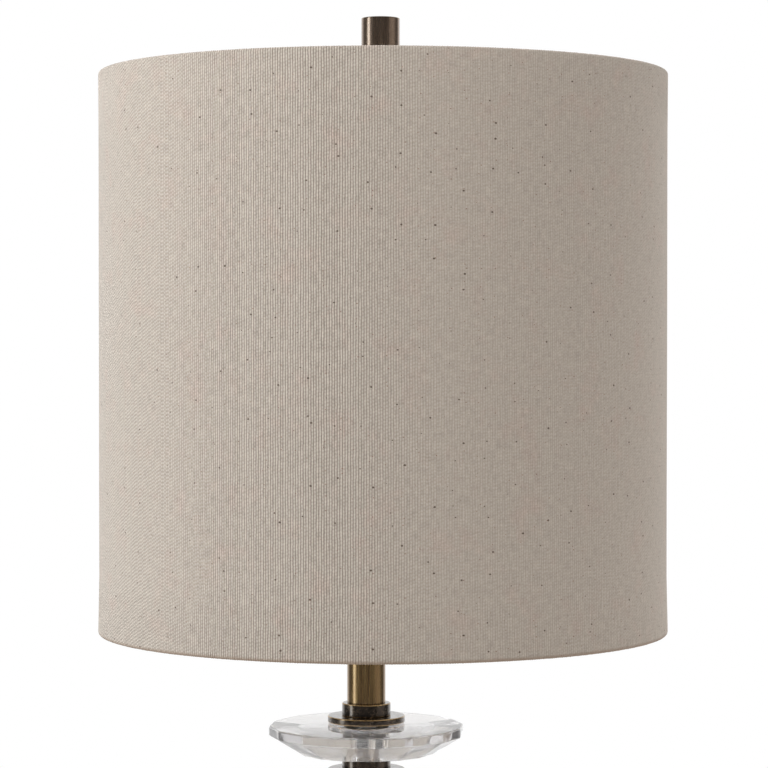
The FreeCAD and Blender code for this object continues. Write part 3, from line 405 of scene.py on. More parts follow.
def brass_material(name, bright, patina, worn, lengthwise):
    """Antique brass, brushed lengthwise or turned, and left to brown under a clear coat.

    The hairlines break every reflection into streaks, and brown patina sits in the deeper ones.
    """
    tree, shader = new_material(name, Metallic=1.0, Coat_Weight=0.5, Coat_Roughness=0.12)
    fine = place_of(tree, 0.28, 26) if lengthwise else lathe_marks(tree, 0.3)
    broad = place_of(tree, 1.6, 60) if lengthwise else place_of(tree, 9)
    hairline = add(tree, "TexNoise", {
        "Vector": fine, "Scale": 1.0, "Detail": 4.0, "Roughness": 0.65})
    cloud = add(tree, "TexNoise", {"Vector": broad, "Scale": 1.0, "Detail": 3.0})
    age = add(tree, "Math", {0: hairline, 1: 0.75, 2: -0.1}, operation="MULTIPLY_ADD")
    age = add(tree, "Math", {0: cloud, 1: 0.35, 2: age}, operation="MULTIPLY_ADD")
    share = add(tree, "MapRange", {"Value": age, **SPREAD})
    aged = add(tree, "Mix", {"Factor": share, "A": patina, "B": bright}, data_type="RGBA")
    rubbed = add(tree, "Attribute", attribute_name=WEAR).node.outputs["Fac"]
    rubbed = add(tree, "Math", {0: rubbed, 1: hairline, 2: -0.12}, operation="MULTIPLY_ADD",
                 use_clamp=True)
    metal = add(tree, "Mix", {"Factor": rubbed, "A": aged, "B": worn}, data_type="RGBA")
    roughness = add(tree, "MapRange", {
        "Value": hairline, **SPREAD, "To Min": 0.18, "To Max": 0.34})
    bump = add(tree, "Bump", {"Height": hairline, "Strength": 0.35, "Distance": 0.06 * MM})
    wire(shader, {"Base Color": metal, "Roughness": roughness, "Normal": bump})


def bronze_material(settings):
    """Turned brass under a dark bronze patina, rubbed back to bare brass on its edges.

    Fine rings from the lathe run round it, the patina is cloudy, and the worn edges glint.
    """
    tree, shader = new_material(FINISHES["dark_bronze"], Metallic=1.0, Coat_Weight=0.6,
                                Coat_Roughness=0.08)
    ring = add(tree, "TexNoise", {
        "Vector": lathe_marks(tree, 0.35), "Scale": 1.0, "Detail": 3.0})
    cloud = add(tree, "TexNoise", {
        "Vector": place_of(tree, 3), "Scale": 1.0, "Detail": 5.0, "Roughness": 0.6})
    share = add(tree, "MapRange", {
        "Value": cloud, "From Min": 0.35, "From Max": 0.68})
    patina = add(tree, "Mix", {"Factor": share, "A": settings.bronze_deep,
                               "B": settings.bronze}, data_type="RGBA")
    edge = add(tree, "Attribute", attribute_name=WEAR).node.outputs["Fac"]
    grit = add(tree, "TexNoise", {"Vector": place_of(tree, 0.7), "Scale": 1.0, "Detail": 4.0})
    rub = add(tree, "Math", {0: grit, 1: 0.9, 2: -0.45}, operation="MULTIPLY_ADD")
    rub = add(tree, "Math", {0: edge, 1: rub}, operation="ADD")
    rub = add(tree, "MapRange", {
        "Value": rub, "From Min": 0.3, "From Max": 0.8})
    metal = add(tree, "Mix", {"Factor": rub, "A": patina, "B": settings.worn},
                data_type="RGBA")
    roughness = add(tree, "MapRange", {"Value": cloud, **SPREAD, "To Min": 0.15, "To Max": 0.32})
    bump = add(tree, "Bump", {"Height": ring, "Strength": 0.25, "Distance": 0.05 * MM})
    wire(shader, {"Base Color": metal, "Roughness": roughness, "Normal": bump})


def crystal_material(settings):
    """Cut and polished lead-free crystal: clear, with a trace of grey and bright facets.

    Its polish waves a little, and more round the drilled bore, which breaks up what shows there.
    """
    tree, shader = new_material(FINISHES["crystal"], Base_Color=settings.tint, Roughness=0.0,
                                Transmission_Weight=0.9, IOR=1.54)
    polish = add(tree, "TexNoise", {"Vector": place_of(tree, 9), "Scale": 1.0, "Detail": 1.0})
    drilled = add(tree, "TexNoise", {"Vector": place_of(tree, 3.5), "Scale": 1.0, "Detail": 0.0})
    across = from_stem(tree, add(tree, "TexCoord").node.outputs["Object"])
    near_bore = add(tree, "MapRange", {
        "Value": across, "From Min": 9 * MM, "From Max": 22 * MM, "To Min": 1.3, "To Max": 0.0})
    ripple = add(tree, "Math", {0: drilled, 1: near_bore, 2: polish}, operation="MULTIPLY_ADD")
    bump = add(tree, "Bump", {"Height": ripple, "Strength": 0.6, "Distance": 0.25 * MM})
    wire(shader, {"Normal": bump})


def zinc_material():
    """Zinc plate on steel under a dull passivated skin: pale, cool and cloudy.

    The skin scatters more light than the metal mirrors, and soft spangles show in it.
    """
    tree, shader = new_material(FINISHES["zinc_steel"], Metallic=0.2)
    spangle = add(tree, "TexVoronoi", {"Vector": place_of(tree, 2.2), "Scale": 1.0})
    fine = add(tree, "TexNoise", {"Vector": place_of(tree, 0.4), "Scale": 1.0, "Detail": 3.0})
    plate = add(tree, "Mix", {"Factor": spangle, "A": linear("EAEBEA"), "B": linear("D6D8D8")},
                data_type="RGBA")
    roughness = add(tree, "MapRange", {"Value": fine, **SPREAD, "To Min": 0.28, "To Max": 0.46})
    wire(shader, {"Base Color": plate, "Roughness": roughness})


def plated_wire_material():
    """Drawn steel wire with thin brass plate: yellow, with faint lines along the draw."""
    tree, shader = new_material(FINISHES["plated_wire"], Metallic=1.0)
    drawn = add(tree, "TexNoise", {
        "Vector": place_of(tree, 0.35, 7), "Scale": 1.0, "Detail": 3.0})
    tarnish = add(tree, "TexNoise", {"Vector": place_of(tree, 6), "Scale": 1.0, "Detail": 4.0})
    plate = add(tree, "Mix", {"Factor": tarnish, "A": linear("8E713F"), "B": linear("C5A66B")},
                data_type="RGBA")
    roughness = add(tree, "MapRange", {"Value": drawn, **SPREAD, "To Min": 0.2, "To Max": 0.36})
    wire(shader, {"Base Color": plate, "Roughness": roughness})


def grained_material(slot, grain_size, dark, light, grain, gloss=None, relief=None,
                     texture="TexNoise", **fixed):
    """A finish whose colour, gloss and relief all follow one grain.

    The grain's size is in millimetres, gloss is the least and most roughness, and relief is the
    strength of the bump and its depth in millimetres.
    """
    tree, shader = new_material(FINISHES[slot], **fixed)
    pattern = add(tree, texture, {
        "Vector": place_of(tree, *grain_size), "Scale": 1.0, **grain})
    dyed = add(tree, "Mix", {"Factor": pattern, "A": linear(dark), "B": linear(light)},
               data_type="RGBA")
    wire(shader, {"Base Color": dyed})
    if gloss:
        roughness = add(tree, "MapRange", {
            "Value": pattern, **SPREAD, "To Min": gloss[0], "To Max": gloss[1]})
        wire(shader, {"Roughness": roughness})
    if relief:
        bump = add(tree, "Bump", {
            "Height": pattern, "Strength": relief[0], "Distance": relief[1] * MM})
        wire(shader, {"Normal": bump})


def grained_materials():
    """The finishes of the lamp's plainer and inner pieces."""
    # Sand-cast grey iron: nearly black, coarse and matt.
    grained_material("cast_iron", (1.2,), "1F1E1D", "4B4845", {"Detail": 6.0, "Roughness": 0.7},
                     relief=(0.8, 0.4), Metallic=0.6, Roughness=0.72)
    # Pressed wool felt, dyed black: no gloss, and short fibres in every direction.
    grained_material("felt", (0.5,), "141312", "3D3936",
                     {"Detail": 6.0, "Roughness": 0.75, "Distortion": 2.0}, relief=(0.9, 0.3),
                     Roughness=0.96, Sheen_Weight=0.35, Sheen_Roughness=0.6,
                     Specular_IOR_Level=0.15)
    # Deep-drawn brass shell, lacquered: satin yellow with fine rings from the tool.
    grained_material("socket_brass", (40, 0.5), "A98848", "D4B676", {"Detail": 3.0},
                     gloss=(0.26, 0.4), Metallic=1.0, Coat_Weight=0.3, Coat_Roughness=0.2)
    # Vulcanised fibre: red-brown pressed paper with a dull, leathery face.
    grained_material("fibre", (0.6, 2.5), "4A2A1C", "74462F", {"Detail": 4.0},
                     relief=(0.4, 0.08), Roughness=0.7)
    # Moulded black phenolic: deep brown-black, half glossy, with a trace of flow marks.
    grained_material("phenolic", (3, 5), "161311", "2A2421",
                     {"Detail": 3.0, "Distortion": 1.5}, gloss=(0.22, 0.38), IOR=1.6)
    # Soda-lime bulb glass, frosted inside with fine silica: white and softly see-through.
    grained_material("bulb_glass", (0.5,), "E6E6E3", "F6F6F4", {"Detail": 3.0},
                     gloss=(0.35, 0.5), Transmission_Weight=0.55, IOR=1.5)
    # Black vitrite under the bulb: glassy, with small bubbles at the surface.
    grained_material("bulb_insulator", (1.2,), "0C0C10", "24242C", {}, relief=(0.3, 0.1),
                     texture="TexVoronoi", Roughness=0.12, IOR=1.52)
    # Rolled aluminium of the bulb's cap: pale grey, with scuffs from the rolling.
    grained_material("bulb_cap", (2.5, 0.25), "A8A8A6", "D2D2CF", {"Detail": 4.0},
                     gloss=(0.25, 0.45), Metallic=1.0)
    # Soft clear vinyl washer: slightly milky, with a waxy gloss.
    grained_material("gasket", (2,), "CFCBC0", "E4E1D8", {"Detail": 2.0},
                     Transmission_Weight=0.5, IOR=1.53, Roughness=0.3)


# Mesh tools

class Ring:
    """Axis, radii and heights of a round upright node."""

    def __init__(self, node):
        low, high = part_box(node)
        self.foot, self.top = low.z, high.z
        self.axis = Vector(((low.x + high.x) / 2, (low.y + high.y) / 2, 0))
        self.points = [vertex.co for vertex in frame["nodes"][node].data.vertices]
        reaches = [self.reach(point) for point in self.points]
        self.bore, self.radius = min(reaches), max(reaches)

    def reach(self, point):
        """Distance of a point from the axis."""
        return math.hypot(point.x - self.axis.x, point.y - self.axis.y)

    def radius_at(self, height):
        """Outer radius at the given height."""
        near = MM / 10
        return max(self.reach(point) for point in self.points if abs(point.z - height) < near)


def draw_outline(mesh, axis, corners, spacing, segments=4):
    """Draw a section beside the axis from (radius, height, rounding) corners.

    A section that starts on the axis stays open there, and any other is closed.
    """
    points = [mesh.verts.new((axis.x + radius, axis.y, height)) for radius, height, _ in corners]
    after = points[1:] + points[:1] if corners[0][0] > 0 else points[1:]
    for pair in zip(points, after):
        mesh.edges.new(pair)
    for point, (_, _, rounding) in zip(points, corners):
        if rounding:
            bmesh.ops.bevel(mesh, geom=[point], offset=rounding, offset_type="OFFSET",
                            segments=segments, profile=0.5, affect="VERTICES", material=-1)
    for edge in mesh.edges[:]:
        cuts = int(edge.calc_length() / spacing)
        if cuts:
            bmesh.ops.subdivide_edges(mesh, edges=[edge], cuts=cuts)


def double(mesh, change):
    """Copy everything in a mesh, with the copy moved by a matrix."""
    made = bmesh.ops.duplicate(mesh, geom=mesh.verts[:] + mesh.edges[:] + mesh.faces[:])["geom"]
    bmesh.ops.transform(mesh, matrix=change, space=Matrix.Identity(4),
                        verts=[item for item in made if isinstance(item, bmesh.types.BMVert)])


def spin_round(mesh, axis, steps):
    """Spin the section drawn so far through one sector, and copy that until the skin closes."""
    sector = FULL_TURN / SECTORS
    bmesh.ops.spin(mesh, geom=mesh.verts[:] + mesh.edges[:], cent=axis, axis=UP, angle=sector,
                   steps=steps // SECTORS, space=Matrix.Identity(4))
    while sector < FULL_TURN:
        double(mesh, Matrix.Translation(axis) @ Matrix.Rotation(sector, 4, "Z")
               @ Matrix.Translation(-axis))
        sector *= 2
    bmesh.ops.remove_doubles(mesh, verts=mesh.verts, dist=MERGE)
    bmesh.ops.recalc_face_normals(mesh, faces=mesh.faces)


def grow(mesh, edges, reshape):
    """Extrude a loop of edges, and move each new point to where reshape puts it."""
    made = bmesh.ops.extrude_edge_only(mesh, edges=edges)["geom"]
    for vertex in made:
        if isinstance(vertex, bmesh.types.BMVert):
            vertex.co = reshape(vertex.co)
    return [edge for edge in made if isinstance(edge, bmesh.types.BMEdge)]


def mark_wear(mesh, axis, edges, reach):
    """Write how rubbed each point is, from the nearest of the given (radius, height) edges."""
    layer = mesh.verts.layers.float.new(WEAR)
    for vertex in mesh.verts:
        across = math.hypot(vertex.co.x - axis.x, vertex.co.y - axis.y)
        away = min(math.hypot(across - radius, vertex.co.z - height) for radius, height in edges)
        vertex[layer] = 1 - smooth(away / reach)


def finish_piece(mesh, name, material, body, nodes, sharp=30):
    """Make a modelled mesh a piece that rides on a body and stands for CAD nodes."""
    data = bpy.data.meshes.new(name)
    mesh.to_mesh(data)
    mesh.free()
    data.shade_smooth()
    data.set_sharp_from_angle(angle=math.radians(sharp))
    data.materials.append(material)
    piece = bpy.data.objects.new(name, data)
    bpy.context.scene.collection.objects.link(piece)
    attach(piece, body)
    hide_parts(*nodes)


def material_of(slot):
    """The finish that a slot of the record has been given."""
    return bpy.data.materials[FINISHES[slot]]


def turn_piece(name, node, corners, slot, body="root", material=None, steps=96, spacing=MM):
    """Turn a brass piece from its outline, with worn edges where the outline is rounded."""
    wear_reach = bpy.context.scene.lamp_metal.wear_reach
    ring = Ring(node)
    mesh = bmesh.new()
    draw_outline(mesh, ring.axis, corners, spacing)
    spin_round(mesh, ring.axis, steps)
    edges = [(radius, height) for radius, height, rounding in corners if rounding]
    mark_wear(mesh, ring.axis, edges, wear_reach)
    finish_piece(mesh, name, material or material_of(slot), body, [node])


def tube_section(ring, bend):
    """Corners of a straight tube's section, with its two outer edges broken."""
    return [(ring.bore, ring.foot, 0), (ring.radius, ring.foot, bend),
            (ring.radius, ring.top, bend), (ring.bore, ring.top, 0)]


# Shade

THREAD_SEED = 7


def drum_rib_pitch(settings):
    """The rib pitch nearest the set one that divides each sector of the drum evenly."""
    around = FULL_TURN * Ring("shade_fabric").radius
    return around / (SECTORS * round(around / settings.rib_pitch / SECTORS))


def measure_along(mesh, layer):
    """Write on each point how far along the closed section it lies."""
    mesh.verts.ensure_lookup_table()
    point, edge, travelled = mesh.verts[0], mesh.verts[0].link_edges[0], 0.0
    for _ in range(len(mesh.verts)):
        point[layer] = travelled
        travelled += edge.calc_length()
        point = edge.other_vert(point)
        edge = next(item for item in point.link_edges if item != edge)


def lay_cloth(mesh, axis, radius, layer):
    """Unroll the cloth: across is metres round the drum, and up is metres along the section."""
    cloth = mesh.loops.layers.uv.new(CLOTH)
    for face in mesh.faces:
        middle = face.calc_center_median() - axis
        heading = math.atan2(middle.y, middle.x)
        for loop in face.loops:
            point = loop.vert.co - axis
            turn = math.atan2(point.y, point.x) - heading
            turn = (turn + math.pi) % FULL_TURN - math.pi
            loop[cloth].uv = ((heading + turn) * radius, loop.vert[layer])


def raise_threads(mesh, ring, steps, settings):
    """Let the yarns stand out along the rims, and add the seam and the swell of the foot."""
    mesh.normal_update()
    rim_reach = 4 * settings.rim_round
    sway_length, sway_depth = 90 * MM, MM / 5
    swell_reach = 20 * MM
    lowest, uneven = 0.6, 0.8    # shares of a thread's height: the least, and the random part
    moves = []
    for vertex in mesh.verts:
        point = vertex.co - ring.axis
        across = math.hypot(point.x, point.y)
        outside = smooth((across - ring.bore - settings.rim_round / 2) / settings.rim_round)
        heading = math.atan2(point.y, point.x) % FULL_TURN
        step = round(heading / FULL_TURN * steps)
        from_foot = vertex.co.z - ring.foot
        from_rim = min(from_foot, ring.top - vertex.co.z)
        thread = settings.rim_thread * (1 - smooth(from_rim / rim_reach)) * (step % 2)
        thread *= lowest + uneven * noise.random_unit_vector().x ** 2
        sway = (1 + noise.noise(point / sway_length)) * sway_depth
        swell = settings.foot_swell * (1 - smooth(from_foot / swell_reach))
        behind = (heading - math.pi / 2) * ring.radius
        lap = smooth(behind / settings.seam_width + 1) * (behind < 0) * settings.seam_lift
        outwards = Vector((point.x, point.y, 0)).normalized()
        moves.append((vertex.normal * thread + outwards * (sway + swell + lap)) * outside)
    for vertex, move in zip(mesh.verts, moves):
        vertex.co += move


class LAMP_OT_linen(bpy.types.Operator):
    """Make the linen of the shade, rolled in over both rims and lapped at the back"""

    bl_idname = "lamp.linen"
    bl_label = "Linen cover"

    def execute(self, context):
        settings = context.scene.lamp_linen
        cover, liner = Ring("shade_fabric"), Ring("shade_liner")
        outer, wall, inner = cover.radius, liner.radius, cover.bore
        thick = outer - wall
        fold = inner + thick
        bend, tight = settings.rim_round, settings.rim_round - thick
        foot, top = cover.foot, cover.top
        corners = [
            (fold, foot + settings.rim_fold, 0),
            (fold, foot + thick, tight),
            (wall, foot + thick, tight),
            (wall, top - thick, tight),
            (fold, top - thick, tight),
            (fold, top - settings.rim_fold, 0),
            (inner, top - settings.rim_fold, 0),
            (inner, top, bend),
            (outer, top, bend),
            (outer, foot, bend),
            (inner, foot, bend),
            (inner, foot + settings.rim_fold, 0),
        ]
        steps = 2 * round(FULL_TURN * outer / drum_rib_pitch(settings))
        mesh = bmesh.new()
        layer = mesh.verts.layers.float.new("along")
        draw_outline(mesh, cover.axis, corners, spacing=30 * MM, segments=3)
        measure_along(mesh, layer)
        spin_round(mesh, cover.axis, steps)
        lay_cloth(mesh, cover.axis, outer, layer)
        noise.seed_set(THREAD_SEED)
        raise_threads(mesh, cover, steps, settings)
        finish_piece(mesh, "linen_cover", material_of("linen"), "shade",
                     ["shade_fabric"])
        return {"FINISHED"}


# Cut glass

FACET_CUTS = 7      # points between two corners of the rim
DOME_RINGS = (0.985, 0.94, 0.86, 0.76, 0.64, 0.52, 0.4, 0.28)   # shares of the rim's radius
FACET_ANGLE = math.radians(8)    # facets that meet at more than this get a polished line
SMOOTH_ANGLE = 12                # degrees up to which the glass is shaded smooth


def cut_disc(name, node, settings):
    """Grow one disc from its top edge: inwards over the dome, and down over the facets."""
    ring = Ring(node)
    corner, height = ring.radius, ring.top - ring.foot
    rim_height = height - settings.crown
    sphere = (corner ** 2 + settings.crown ** 2) / (2 * settings.crown)
    band_foot = rim_height - settings.band_height
    girdle = band_foot - settings.bevel_height

    def dome(point, share):
        across = point.xy * share
        drop = sphere - math.sqrt(sphere ** 2 - across.length_squared)
        return Vector((*across, height - drop))

    def bore_edge(loop, level):
        return grow(mesh, loop, lambda point: Vector((*(point.xy.normalized() * ring.bore),
                                                      level)))

    mesh = bmesh.new()
    bmesh.ops.create_circle(mesh, segments=settings.facets, radius=corner,
                            matrix=Matrix.Rotation(settings.turn, 4, "Z"))
    bmesh.ops.subdivide_edges(mesh, edges=mesh.edges[:], cuts=FACET_CUTS)
    for vertex in mesh.verts:
        vertex.co = dome(vertex.co, 1.0)
    rim = mesh.edges[:]

    loop, share = rim, 1.0
    for next_share in DOME_RINGS:
        step = next_share / share
        loop = grow(mesh, loop, lambda point: dome(point, step))
        share = next_share
    bores = bore_edge(loop, height)
    loop, radius = rim, corner
    for next_radius, level in (
        (corner, band_foot),
        (settings.girdle_radius, girdle),
        (settings.seat_radius, 0.0),
    ):
        share = next_radius / radius
        loop = grow(mesh, loop, lambda point: Vector((*(point.xy * share), level)))
        radius = next_radius
    bores += bore_edge(loop, 0.0)
    bmesh.ops.bridge_loops(mesh, edges=bores)
    bmesh.ops.recalc_face_normals(mesh, faces=mesh.faces)

    bmesh.ops.bevel(mesh, geom=rim, offset=settings.top_round, offset_type="OFFSET", segments=4,
                    profile=0.5, affect="EDGES", material=-1)
    # the lines between facets, without the rim's own bevel and the edges of the bore
    hard = [edge for edge in mesh.edges
            if edge.calc_face_angle(0) > FACET_ANGLE
            and max(vertex.co.z for vertex in edge.verts) < rim_height
            and min(math.hypot(*vertex.co.xy) for vertex in edge.verts) > 2 * ring.bore]
    bmesh.ops.bevel(mesh, geom=hard, offset=settings.facet_edge, offset_type="WIDTH",
                    segments=1, profile=0.5, affect="EDGES", material=-1)
    bmesh.ops.translate(mesh, verts=mesh.verts, vec=ring.axis + UP * ring.foot)
    finish_piece(mesh, name, material_of("crystal"), "root", [node],
                 sharp=SMOOTH_ANGLE)


class LAMP_OT_crystal(bpy.types.Operator):
    """Make the two cut-glass discs"""

    bl_idname = "lamp.crystal"
    bl_label = "Cut-glass discs"

    def execute(self, context):
        settings = context.scene.lamp_glass
        for place in ("lower", "upper"):
            cut_disc(f"cut_glass_{place}", f"{place}_crystal_disc", settings)
        return {"FINISHED"}


# Stem

class LAMP_OT_stem(bpy.types.Operator):
    """Turn the neck, the column and the four flanges and collars"""

    bl_idname = "lamp.stem"
    bl_label = "Turned stem"

    def execute(self, context):
        bend = context.scene.lamp_metal.edge_round
        light_bend = bend / 3
        for place in ("foot", "column_bottom", "column_top", "neck"):
            for form in ("flange", "collar"):
                node = f"{place}_{form}"
                turn_piece(f"{node}_turned", node, tube_section(Ring(node), bend),
                           "dark_bronze", steps=128, spacing=MM / 2)
        turn_piece("neck_brushed", "neck_tube", tube_section(Ring("neck_tube"), light_bend),
                   "antique_brass", steps=128)
        column = Ring("column_tube")
        wall = column.radius_at(column.top) - column.bore
        turn_piece("column_brushed", "column_tube", [
            (column.radius - wall, column.foot, 0),
            (column.radius, column.foot, light_bend),
            (column.bore + wall, column.top, light_bend),
            (column.bore, column.top, 0),
        ], "antique_brass", steps=128, spacing=2 * MM)
        return {"FINISHED"}


class LAMP_OT_rod(bpy.types.Operator):
    """Make the hollow threaded rod, with its thread as one rolled ridge"""

    bl_idname = "lamp.rod"
    bl_label = "Threaded rod"

    def execute(self, context):
        pitch = context.scene.lamp_metal.thread_pitch
        steps, ridge_depth, cut_nearness = 20, 0.7 * pitch, MM / 10000
        ring = Ring("threaded_rod")
        inside = ring.radius - ridge_depth
        mesh = bmesh.new()
        ridge = [mesh.verts.new((radius, 0, ring.foot + share * pitch))
                 for radius, share in ((inside, 0), (ring.radius, 0.5), (inside, 1))]
        outline = [mesh.edges.new(pair) for pair in zip(ridge, ridge[1:])]
        bmesh.ops.spin(mesh, geom=ridge + outline, cent=ring.axis, axis=UP,
                       dvec=UP * pitch / steps, angle=FULL_TURN, steps=steps,
                       space=Matrix.Identity(4))
        rise = pitch
        while ring.foot + rise < ring.top:
            double(mesh, Matrix.Translation(UP * rise))
            rise *= 2
        bmesh.ops.remove_doubles(mesh, verts=mesh.verts, dist=MERGE)
        bores = []
        for level, outwards in ((ring.foot, -UP), (ring.top, UP)):
            cut = bmesh.ops.bisect_plane(
                mesh, geom=mesh.verts[:] + mesh.edges[:] + mesh.faces[:], dist=cut_nearness,
                plane_co=UP * level - outwards * pitch, plane_no=outwards, clear_outer=True)
            loop = [item for item in cut["geom_cut"] if isinstance(item, bmesh.types.BMEdge)]
            bores += grow(mesh, loop, lambda point: Vector(
                (*(point.xy.normalized() * ring.bore), level)))
        bmesh.ops.bridge_loops(mesh, edges=bores)
        bmesh.ops.recalc_face_normals(mesh, faces=mesh.faces)
        finish_piece(mesh, "rod_threaded", material_of("zinc_steel"), "root",
                     ["threaded_rod"])
        return {"FINISHED"}


# Foot and finial

class LAMP_OT_foot(bpy.types.Operator):
    """Make the step of the foot and the felt under it"""

    bl_idname = "lamp.foot"
    bl_label = "Foot"

    def execute(self, context):
        step_round, fray_size, fray_depth = 2 * MM, 1.5 * MM, 0.2 * MM
        step = Ring("base_step")
        turn_piece("foot_step_turned", "base_step", [
            (step.bore, step.foot, 0),
            (step.radius, step.foot, 0),
            (step.radius, step.top, step_round),
            (step.bore, step.top, 0),
        ], "antique_brass", material=bpy.data.materials[TURNED_BRASS], steps=192)

        pad = Ring("base_felt_pad")
        bend = (pad.top - pad.foot) / 3
        mesh = bmesh.new()
        draw_outline(mesh, pad.axis, [
            (0, pad.foot, 0), (pad.radius, pad.foot, bend), (pad.radius, pad.top, bend),
            (0, pad.top, 0),
        ], spacing=12 * MM)
        spin_round(mesh, pad.axis, 256)
        for vertex in mesh.verts:
            outwards = Vector((vertex.co.x, vertex.co.y, 0))
            if outwards.length > pad.radius - MM:
                fray = noise.noise(vertex.co / fray_size) * fray_depth
                vertex.co += outwards.normalized() * fray
        finish_piece(mesh, "felt_pad", material_of("felt"), "root", ["base_felt_pad"])
        return {"FINISHED"}


class LAMP_OT_finial(bpy.types.Operator):
    """Turn the finial, with the pocket for its insert"""

    bl_idname = "lamp.finial"
    bl_label = "Finial"

    def execute(self, context):
        bend = context.scene.lamp_metal.edge_round
        finial, insert, stud = Ring("finial_body"), Ring("finial_insert"), Ring("harp_stud")
        play, headroom = 0.06 * MM, 0.3 * MM
        pocket, pocket_top = insert.radius + play, stud.top + headroom
        turn_piece("finial_brushed", "finial_body", [
            (0, pocket_top, 0),
            (pocket, pocket_top, 0),
            (pocket, finial.foot, 0),
            (finial.radius, finial.foot, bend),
            (finial.radius, finial.top, bend),
            (0, finial.top, 0),
        ], "dark_bronze", body="finial", material=bpy.data.materials[FINIAL_BRASS], steps=128)
        return {"FINISHED"}


# Bulb

class LAMP_OT_bulb(bpy.types.Operator):
    """Roll the thread into the bulb's cap"""

    bl_idname = "lamp.bulb"
    bl_label = "Bulb cap"

    def execute(self, context):
        pitch = context.scene.lamp_metal.cap_pitch
        thread_depth, wall = 0.7 * MM, 0.8 * MM
        cap = Ring("bulb_screw_cap")
        inside = cap.bore - wall
        mesh = bmesh.new()
        draw_outline(mesh, cap.axis, [
            (inside, cap.foot, 0), (cap.radius, cap.foot, 0),
            (cap.radius, cap.top, 0), (inside, cap.top, 0),
        ], spacing=pitch / 12)
        spin_round(mesh, cap.axis, 96)
        for vertex in mesh.verts:
            point = vertex.co - cap.axis
            if math.hypot(point.x, point.y) < cap.radius - MM / 10:
                continue
            turns = math.atan2(point.y, point.x) / FULL_TURN
            wave = 0.5 - 0.5 * math.cos(FULL_TURN * (point.z / pitch - turns))
            ends = min(vertex.co.z - cap.foot, cap.top - vertex.co.z)
            depth = thread_depth * wave * smooth(ends / (pitch / 2))
            vertex.co -= Vector((point.x, point.y, 0)).normalized() * depth
        finish_piece(mesh, "bulb_cap_rolled", material_of("bulb_cap"), "bulb",
                     ["bulb_screw_cap"])
        return {"FINISHED"}


# Finishes

class LAMP_OT_finishes(bpy.types.Operator):
    """Make the materials, and give each node of the frame the one of its slot"""

    bl_idname = "lamp.finishes"
    bl_label = "Finishes"

    def execute(self, context):
        scene, metal = context.scene, context.scene.lamp_metal
        linen_material(scene.lamp_linen)
        for name, bright, patina, lengthwise in (
            (FINISHES["antique_brass"], metal.brass, metal.brass_dark, True),
            (TURNED_BRASS, metal.brass, metal.brass_dark, False),
            (FINIAL_BRASS, metal.umber, metal.umber_dark, True),
        ):
            brass_material(name, bright, patina, metal.worn, lengthwise)
        bronze_material(metal)
        crystal_material(scene.lamp_glass)
        styrene_material()
        zinc_material()
        plated_wire_material()
        grained_materials()
        for part in frame["record"]["subparts"]:
            node = frame["nodes"][part["node"]]
            node.material_slots[0].material = material_of(part["material_slot"])
        for name in ("base_cover", "neck_cap"):
            frame["nodes"][name].material_slots[0].material = bpy.data.materials[TURNED_BRASS]
        return {"FINISHED"}


# Stage

FLOOR_RADIUS = 2.0    # metres
CLIP = (0.1, 20)      # metres from the camera between which it sees


def paint_world(settings):
    """A studio that is white behind the lamp and dim in front of it.

    The camera sees plain white. Metal and glass see the white backdrop and the dim room.
    """
    world = bpy.data.worlds.new("Soft studio")
    bpy.context.scene.world = world
    world.use_nodes = True
    tree = world.node_tree
    tree.nodes.clear()
    back = add(tree, "SeparateXYZ", {
        "Vector": add(tree, "TexCoord").node.outputs["Generated"]}).node.outputs["Y"]
    ray = add(tree, "LightPath").node.outputs
    # what lights the lamp, what metal mirrors and what shows through glass: where the front
    # turns into the back, and the level of each
    lit, mirrored, seen_through = (
        add(tree, "MapRange", {"Value": back, "From Min": start, "From Max": end,
                               "To Min": front, "To Max": behind}, interpolation_type=change)
        for start, end, front, behind, change in (
            (-0.05, 0.05, settings.front_light, settings.back_light, "LINEAR"),
            (0.5, 0.72, 0.12, 1.0, "SMOOTHSTEP"),
            (-0.3, 0.3, 0.68, 0.74, "LINEAR"),
        ))
    strength = add(tree, "Mix", {"Factor": ray["Is Glossy Ray"], "A": lit, "B": mirrored})
    strength = add(tree, "Mix", {
        "Factor": ray["Is Transmission Ray"], "A": strength, "B": seen_through})
    strength = add(tree, "Mix", {"Factor": ray["Is Camera Ray"], "A": strength, "B": 1.0})
    background = add(tree, "Background", {"Strength": strength, "Color": WHITE})
    add(tree, "OutputWorld", {"Surface": background})


